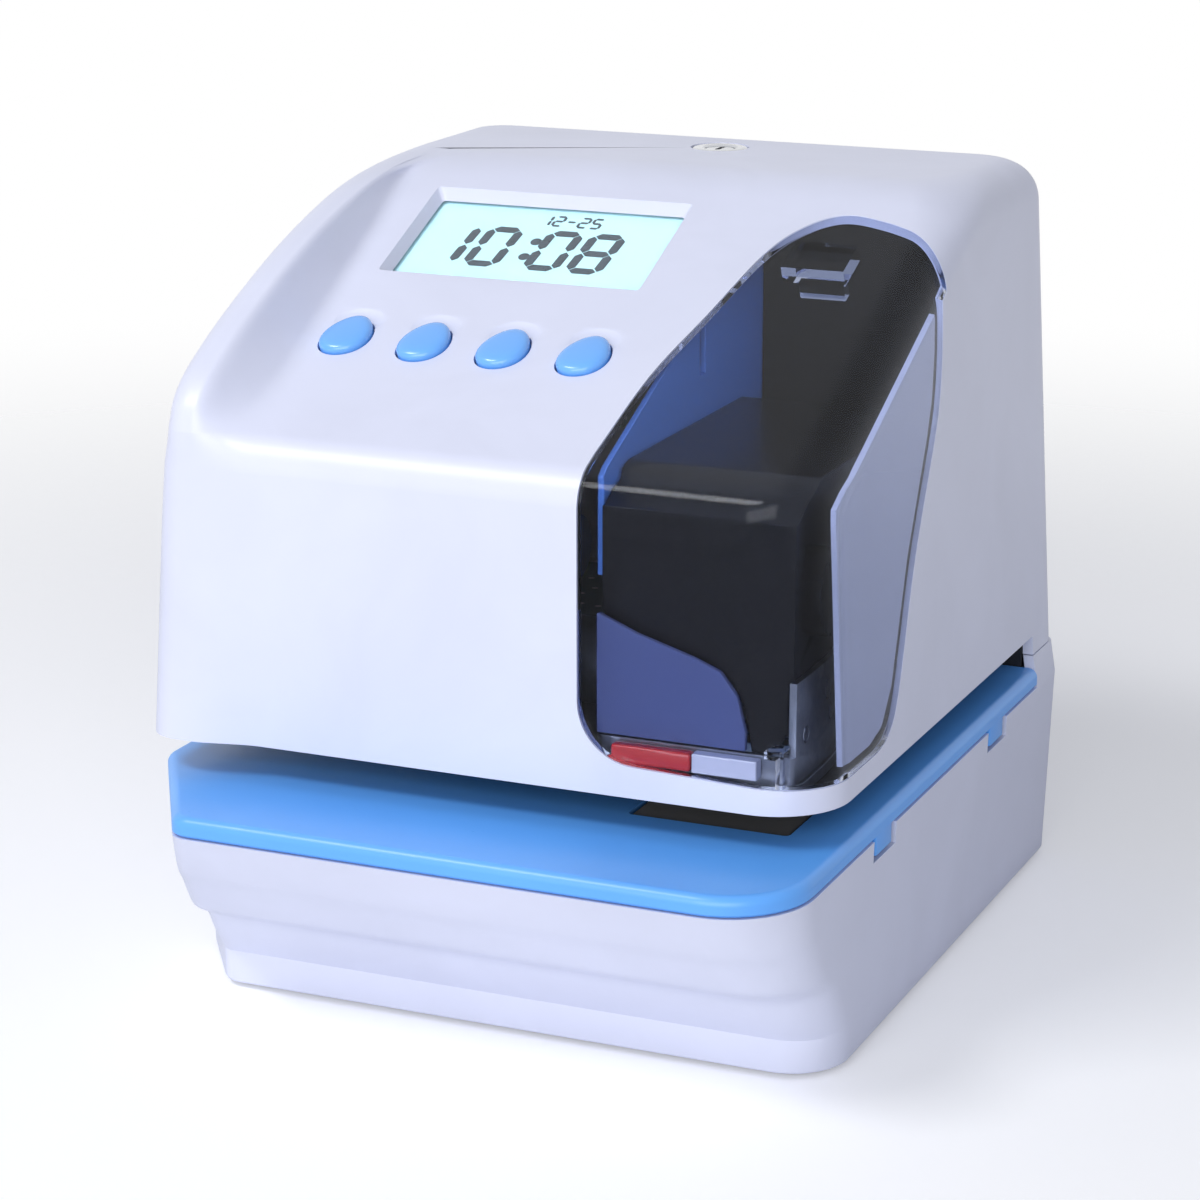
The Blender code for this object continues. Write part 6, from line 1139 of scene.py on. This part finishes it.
def make_keys():
    """The four egg-shaped keys: a dome over the egg outline, with its keeper flange and stem."""
    body, panel = sizes("body"), sizes("panel")
    outline = key_outline()
    heights, widths = smooth_line(KEY_DOME_SHARES, 26)
    under = -body.wall - body.gap - 0.0012
    for i, place in enumerate(key_places()):
        flange = key_outline(0.0012)
        rings = [with_height(flange[None], [under]), with_height(flange[None], [under + 0.0012]),
                 with_height(outline[None], [under + 0.0012])]
        for height, width in zip(heights, widths):
            rings.append(with_height(outline[None] * width, [height * panel.key_proud]))
        key = lofted(f"key_cap_{i + 1}", np.concatenate(rings), place)
        stem = turned(f"key_stem_{i + 1}", [(0.0025, -0.0052), (0.0025, under + 0.0006)], 24, place)
        combine(key, [stem], "UNION")
        finish_mesh(key, 40.0)
        seat(key, f"button_{i + 1}", MATERIALS["key"], (f"button_{i + 1}",))


def make_lock():
    """The lock: a turned barrel with a chamfered flange, and a plug with a milled keyway."""
    body, panel = sizes("body"), sizes("panel")
    place = Matrix.Translation((panel.lock_x, panel.lock_y, body.height))
    low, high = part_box("lock_barrel")
    bottom = low.z - body.height
    inner = panel.lock_plug + body.gap
    sink = panel.lock_sink
    profile = [(inner, bottom), (panel.lock_barrel - 0.0004, bottom), (panel.lock_barrel, bottom + 0.0004),
               (panel.lock_barrel, -sink - 1e-5), (panel.lock_flange, -sink), (panel.lock_flange, -0.00045),
               (panel.lock_flange - 0.0004, -0.0001), (panel.lock_flange - 0.0009, 0.0),
               (inner + 0.0005, 0.0), (inner, -0.0004)]
    barrel = ring_solid("lock_barrel_turned", profile, place)
    finish_mesh(barrel)
    seat(barrel, "upper_cover", MATERIALS["bright_steel"], ("lock_barrel",))
    low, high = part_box("lock_plug")
    end, top = low.z - body.height, high.z - body.height
    plug = turned("lock_plug_turned", [(panel.lock_plug, end), (panel.lock_plug, top - 0.0004),
                                       (panel.lock_plug - 0.0003, top - 0.00008),
                                       (panel.lock_plug - 0.0007, top)], 48, place)
    slot = box_piece("keyway_cutter", (-0.0006, -0.0023, -0.006), (0.0006, 0.0023, 0.01), 0.0003, place)
    combine(plug, [slot])
    finish_mesh(plug)
    seat(plug, "lock", MATERIALS["bright_steel"], ("lock_plug",))
    refined("lock_cam", MATERIALS["steel"], 0.0002)
    refined("lock_catch", MATERIALS["steel"], 0.0002)


def ring_solid(name, profile, place, sides=64):
    """A turned ring: its closed profile (radius, height) swept once round Z."""
    profile = np.asarray(profile, float)
    angle = np.linspace(0, 2 * math.pi, sides, endpoint=False)
    points = np.stack([profile[:, None, 0] * np.cos(angle), profile[:, None, 0] * np.sin(angle),
                       np.broadcast_to(profile[:, None, 1], (len(profile), sides))], -1)
    return outward(mesh_piece(name, points, ring_faces(len(profile), sides, close_rows=True), place))


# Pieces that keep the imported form, with merged faces and broken edges

PLAIN_GROUPS = {
    "ribbon": (
        ("ribbon_cassette", "black", 0.0008),
        ("ribbon_knob", "black", 0.0002),
        ("ink_ribbon", "ribbon", 0.0),
        ("ribbon_shield", "shield", 0.0002)),
    "bay": (
        ("bay_liner", "liner", 0.0003),
        ("bay_backwall", "matt", 0.0003),
        ("window_side_liner", "side", 0.0),
        ("print_gauge", "red", 0.0003),
        ("guide_plate", "grey", 0.0003)),
    "print_unit": (
        ("print_unit_frame", "steel", 0.0002),
        ("rail_front", "bright_steel", 0.0002),
        ("rail_rear", "bright_steel", 0.0002),
        ("drive_screw", "bright_steel", 0.0002),
        ("feed_motor", "steel", 0.0003),
        ("print_carriage", "black", 0.0003),
        ("print_head", "dark_steel", 0.0001)),
    "chassis": (
        ("chassis_base", "steel", 0.0002),
        ("chassis_upright", "steel", 0.0002),
        ("chassis_arm", "steel", 0.0002),
        *((f"chassis_screw_{i}", "bright_steel", 0.0002) for i in range(1, 5)),
        ("head_underplate", "dark_steel", 0.0002),
        ("throat_backplate", "dark_steel", 0.0002),
        ("platen_block", "steel", 0.0003),
        ("platen_pad", "rubber", 0.0003)),
    "throat": (
        ("paper_stop", "grey", 0.0004),
        ("trigger_lever", "black", 0.0003),
        ("lever_bracket", "steel", 0.0002),
        ("lever_pin", "bright_steel", 0.0001)),
    "electrics": (
        ("main_board", "board", 0.0001),
        ("backup_battery", "liner", 0.0005),
        ("power_unit", "dark_steel", 0.0004),
        ("power_inlet", "black", 0.0004)),
    "feet": tuple((f"foot_{i}", "rubber", 0.0004) for i in range(1, 5)),
}


def make_plain(group):
    for node, material, bevel in PLAIN_GROUPS[group]:
        refined(node, MATERIALS[material], bevel)


# Studio

def make_stage():
    """Camera, soft lamps, a pale floor that fades into the white world."""
    stage = sizes("stage")
    camera = bpy.data.objects.new("camera", bpy.data.cameras.new("camera"))
    bpy.context.scene.collection.objects.link(camera)
    camera.location = stage.camera
    camera.rotation_euler = (math.pi / 2 - stage.pitch, 0, stage.yaw)
    camera.data.lens = stage.lens
    camera.data.sensor_width = 36.0
    camera.data.clip_start = 0.01
    camera.data.dof.use_dof = False
    bpy.context.scene.camera = camera
    lamp("key", (-0.42, -0.58, 0.92), (0.0, -0.02, 0.10), (0.50, 0.22), stage.key_power)
    lamp("front", (0.30, -1.60, 0.55), (0.0, 0.0, 0.08), (1.6, 1.0), stage.front_power)
    floor_piece(stage)
    world(stage)
    bpy.context.scene.view_settings.view_transform = "Standard"


def lamp(name, place, target, size, power):
    data = bpy.data.lights.new(name, "AREA")
    data.shape = "RECTANGLE"
    data.size, data.size_y = size
    data.energy = power
    item = bpy.data.objects.new(name, data)
    bpy.context.scene.collection.objects.link(item)
    item.location = place
    item.rotation_euler = (Vector(target) - Vector(place)).to_track_quat("-Z", "Y").to_euler()
    return item


def floor_piece(stage):
    """A disc under the object, its white fading to clear with the distance from the middle."""
    radii = np.array([0.0005, 0.05, 0.2, 0.5, 1.0, stage.floor_radius])
    angle = np.linspace(0, 2 * math.pi, 96, endpoint=False)
    points = np.stack([radii[:, None] * np.cos(angle), radii[:, None] * np.sin(angle),
                       np.zeros((len(radii), len(angle)))], -1)
    faces = [face[::-1] for face in ring_faces(len(radii), len(angle))] + [range(len(angle))]
    floor = mesh_piece("studio_floor", points, faces)
    material, tree, output, place = start_material("paper_sweep_white")
    fibre = add(tree, "ShaderNodeTexNoise", {"Scale": 260.0, "Detail": 4.0}, {"Vector": place})
    colour = sizes("colour").floor
    tone = ramp(tree, fibre.outputs["Fac"], (0.3, shade(colour, 0.99)[:3]), (0.7, shade(colour, 1.0)[:3]))
    paper = add(tree, "ShaderNodeBsdfPrincipled", {"Roughness": 0.9, "Specular IOR Level": 0.1},
                {"Base Color": tone})
    distance = add(tree, "ShaderNodeVectorMath", links={0: place}, operation="LENGTH")
    fade = add(tree, "ShaderNodeMapRange", {"From Min": 0.22, "From Max": 0.75},
               {"Value": distance.outputs["Value"]}, interpolation_type="SMOOTHSTEP")
    clear = add(tree, "ShaderNodeBsdfTransparent")
    # The sweep shows as pale paper to the camera without throwing more light on the object
    path = add(tree, "ShaderNodeLightPath")
    lift = add(tree, "ShaderNodeMath", {1: stage.floor_lift}, {0: path.outputs["Is Camera Ray"]},
               operation="MULTIPLY")
    glow = add(tree, "ShaderNodeEmission", {"Color": (1, 1, 1, 1)}, {"Strength": lift.outputs["Value"]})
    lit = add(tree, "ShaderNodeAddShader", links={0: paper.outputs["BSDF"], 1: glow.outputs["Emission"]})
    mixed = add(tree, "ShaderNodeMixShader", links={"Fac": fade.outputs["Result"], 1: lit.outputs["Shader"],
                                                    2: clear.outputs["BSDF"]})
    tree.links.new(mixed.outputs["Shader"], output.inputs["Surface"])
    floor.data.materials.append(material)


def world(stage):
    """White to the camera, to reflections and through the window; a softer grey-blue as light."""
    scene_world = bpy.data.worlds.new("studio")
    bpy.context.scene.world = scene_world
    scene_world.use_nodes = True
    tree = scene_world.node_tree
    tree.nodes.clear()
    output = add(tree, "ShaderNodeOutputWorld")
    path = add(tree, "ShaderNodeLightPath")
    glossy = add(tree, "ShaderNodeMath",
                 links={0: path.outputs["Is Camera Ray"], 1: path.outputs["Is Glossy Ray"]},
                 operation="MAXIMUM")
    seen = add(tree, "ShaderNodeMath",
               links={0: glossy.outputs["Value"], 1: path.outputs["Is Transmission Ray"]},
               operation="MAXIMUM")
    light = add(tree, "ShaderNodeBackground", {"Color": (*linear("F1F4FF"), 1), "Strength": stage.ambient})
    white = add(tree, "ShaderNodeBackground", {"Color": (1, 1, 1, 1), "Strength": 1.0})
    mixed = add(tree, "ShaderNodeMixShader",
                links={"Fac": seen.outputs["Value"], 1: light.outputs["Background"],
                                                    2: white.outputs["Background"]})
    tree.links.new(mixed.outputs["Shader"], output.inputs["Surface"])


# Operators and panel


class STAMP_OT_materials(bpy.types.Operator):
    """Makes every material"""
    bl_idname = "stamp.materials"
    bl_label = "Materials"
    bl_options = {"REGISTER", "UNDO"}

    def execute(self, context):
        make_materials()
        return {"FINISHED"}


class STAMP_OT_head_cover(bpy.types.Operator):
    """Moulded white cover with its sunk panel and raised fender"""
    bl_idname = "stamp.head_cover"
    bl_label = "Head cover"
    bl_options = {"REGISTER", "UNDO"}

    def execute(self, context):
        make_head_cover()
        return {"FINISHED"}


class STAMP_OT_window(bpy.types.Operator):
    """Smoke-clear window that wraps the right front corner"""
    bl_idname = "stamp.window"
    bl_label = "Window"
    bl_options = {"REGISTER", "UNDO"}

    def execute(self, context):
        make_window()
        return {"FINISHED"}


class STAMP_OT_base(bpy.types.Operator):
    """White tub of the base"""
    bl_idname = "stamp.base"
    bl_label = "Base"
    bl_options = {"REGISTER", "UNDO"}

    def execute(self, context):
        make_base()
        return {"FINISHED"}


class STAMP_OT_deck(bpy.types.Operator):
    """Blue paper deck with its snap tabs"""
    bl_idname = "stamp.deck"
    bl_label = "Deck"
    bl_options = {"REGISTER", "UNDO"}

    def execute(self, context):
        make_deck()
        return {"FINISHED"}


class STAMP_OT_display(bpy.types.Operator):
    """Liquid crystal display with its tray and the key board"""
    bl_idname = "stamp.display"
    bl_label = "Display"
    bl_options = {"REGISTER", "UNDO"}

    def execute(self, context):
        make_display()
        return {"FINISHED"}


class STAMP_OT_keys(bpy.types.Operator):
    """The four blue keys"""
    bl_idname = "stamp.keys"
    bl_label = "Keys"
    bl_options = {"REGISTER", "UNDO"}

    def execute(self, context):
        make_keys()
        return {"FINISHED"}


class STAMP_OT_lock(bpy.types.Operator):
    """Lock barrel, plug, cam and catch"""
    bl_idname = "stamp.lock"
    bl_label = "Lock"
    bl_options = {"REGISTER", "UNDO"}

    def execute(self, context):
        make_lock()
        return {"FINISHED"}


class STAMP_OT_ribbon(bpy.types.Operator):
    """Ribbon cassette, its knob, the ribbon and its shield"""
    bl_idname = "stamp.ribbon"
    bl_label = "Ribbon"
    bl_options = {"REGISTER", "UNDO"}

    def execute(self, context):
        make_plain("ribbon")
        return {"FINISHED"}


class STAMP_OT_bay(bpy.types.Operator):
    """Lining of the ribbon bay, the gauge and the guide"""
    bl_idname = "stamp.bay"
    bl_label = "Bay"
    bl_options = {"REGISTER", "UNDO"}

    def execute(self, context):
        make_plain("bay")
        return {"FINISHED"}


class STAMP_OT_print_unit(bpy.types.Operator):
    """Frame, rails, screw, motor, carriage and head"""
    bl_idname = "stamp.print_unit"
    bl_label = "Print unit"
    bl_options = {"REGISTER", "UNDO"}

    def execute(self, context):
        make_plain("print_unit")
        return {"FINISHED"}


class STAMP_OT_chassis(bpy.types.Operator):
    """Steel chassis, its screws and the platen"""
    bl_idname = "stamp.chassis"
    bl_label = "Chassis"
    bl_options = {"REGISTER", "UNDO"}

    def execute(self, context):
        make_plain("chassis")
        return {"FINISHED"}


class STAMP_OT_throat(bpy.types.Operator):
    """Paper stop and trigger lever"""
    bl_idname = "stamp.throat"
    bl_label = "Throat"
    bl_options = {"REGISTER", "UNDO"}

    def execute(self, context):
        make_plain("throat")
        return {"FINISHED"}


class STAMP_OT_electrics(bpy.types.Operator):
    """Boards, battery, transformer and inlet"""
    bl_idname = "stamp.electrics"
    bl_label = "Electrics"
    bl_options = {"REGISTER", "UNDO"}

    def execute(self, context):
        make_plain("electrics")
        return {"FINISHED"}


class STAMP_OT_feet(bpy.types.Operator):
    """Rubber feet"""
    bl_idname = "stamp.feet"
    bl_label = "Feet"
    bl_options = {"REGISTER", "UNDO"}

    def execute(self, context):
        make_plain("feet")
        return {"FINISHED"}


class STAMP_OT_studio(bpy.types.Operator):
    """Camera, lamps, floor and world"""
    bl_idname = "stamp.studio"
    bl_label = "Studio"
    bl_options = {"REGISTER", "UNDO"}

    def execute(self, context):
        make_stage()
        return {"FINISHED"}


OPERATORS = (
    STAMP_OT_materials, STAMP_OT_head_cover, STAMP_OT_window, STAMP_OT_base, STAMP_OT_deck,
    STAMP_OT_display, STAMP_OT_keys, STAMP_OT_lock, STAMP_OT_ribbon, STAMP_OT_bay, STAMP_OT_print_unit,
    STAMP_OT_chassis, STAMP_OT_throat, STAMP_OT_electrics, STAMP_OT_feet, STAMP_OT_studio)


class STAMP_PT_panel(bpy.types.Panel):
    """Sizes, colours and steps of the stamp machine"""
    bl_idname = "STAMP_PT_panel"
    bl_label = "Stamp machine"
    bl_space_type = "VIEW_3D"
    bl_region_type = "UI"
    bl_category = "Stamp machine"

    def draw(self, context):
        layout = self.layout
        for operator in OPERATORS:
            layout.operator(operator.bl_idname)
        for name, group in GROUPS.items():
            column = layout.column(align=True)
            column.label(text=name.title())
            for key in group.__annotations__:
                column.prop(sizes(name), key)


CLASSES = tuple(GROUPS.values()) + OPERATORS + (STAMP_PT_panel,)


def register():
    for item in CLASSES:
        bpy.utils.register_class(item)
    for name, group in GROUPS.items():
        setattr(bpy.types.Scene, "stamp_" + name, PointerProperty(type=group))


def unregister():
    for name in GROUPS:
        delattr(bpy.types.Scene, "stamp_" + name)
    for item in reversed(CLASSES):
        bpy.utils.unregister_class(item)


def main():
    register()
    for operator in OPERATORS:
        group, name = operator.bl_idname.split(".")
        if getattr(getattr(bpy.ops, group), name)() != {"FINISHED"}:
            raise RuntimeError(f"{operator.bl_label} was not made")
    bpy.context.view_layer.update()


if __name__ == "__main__":
    main()
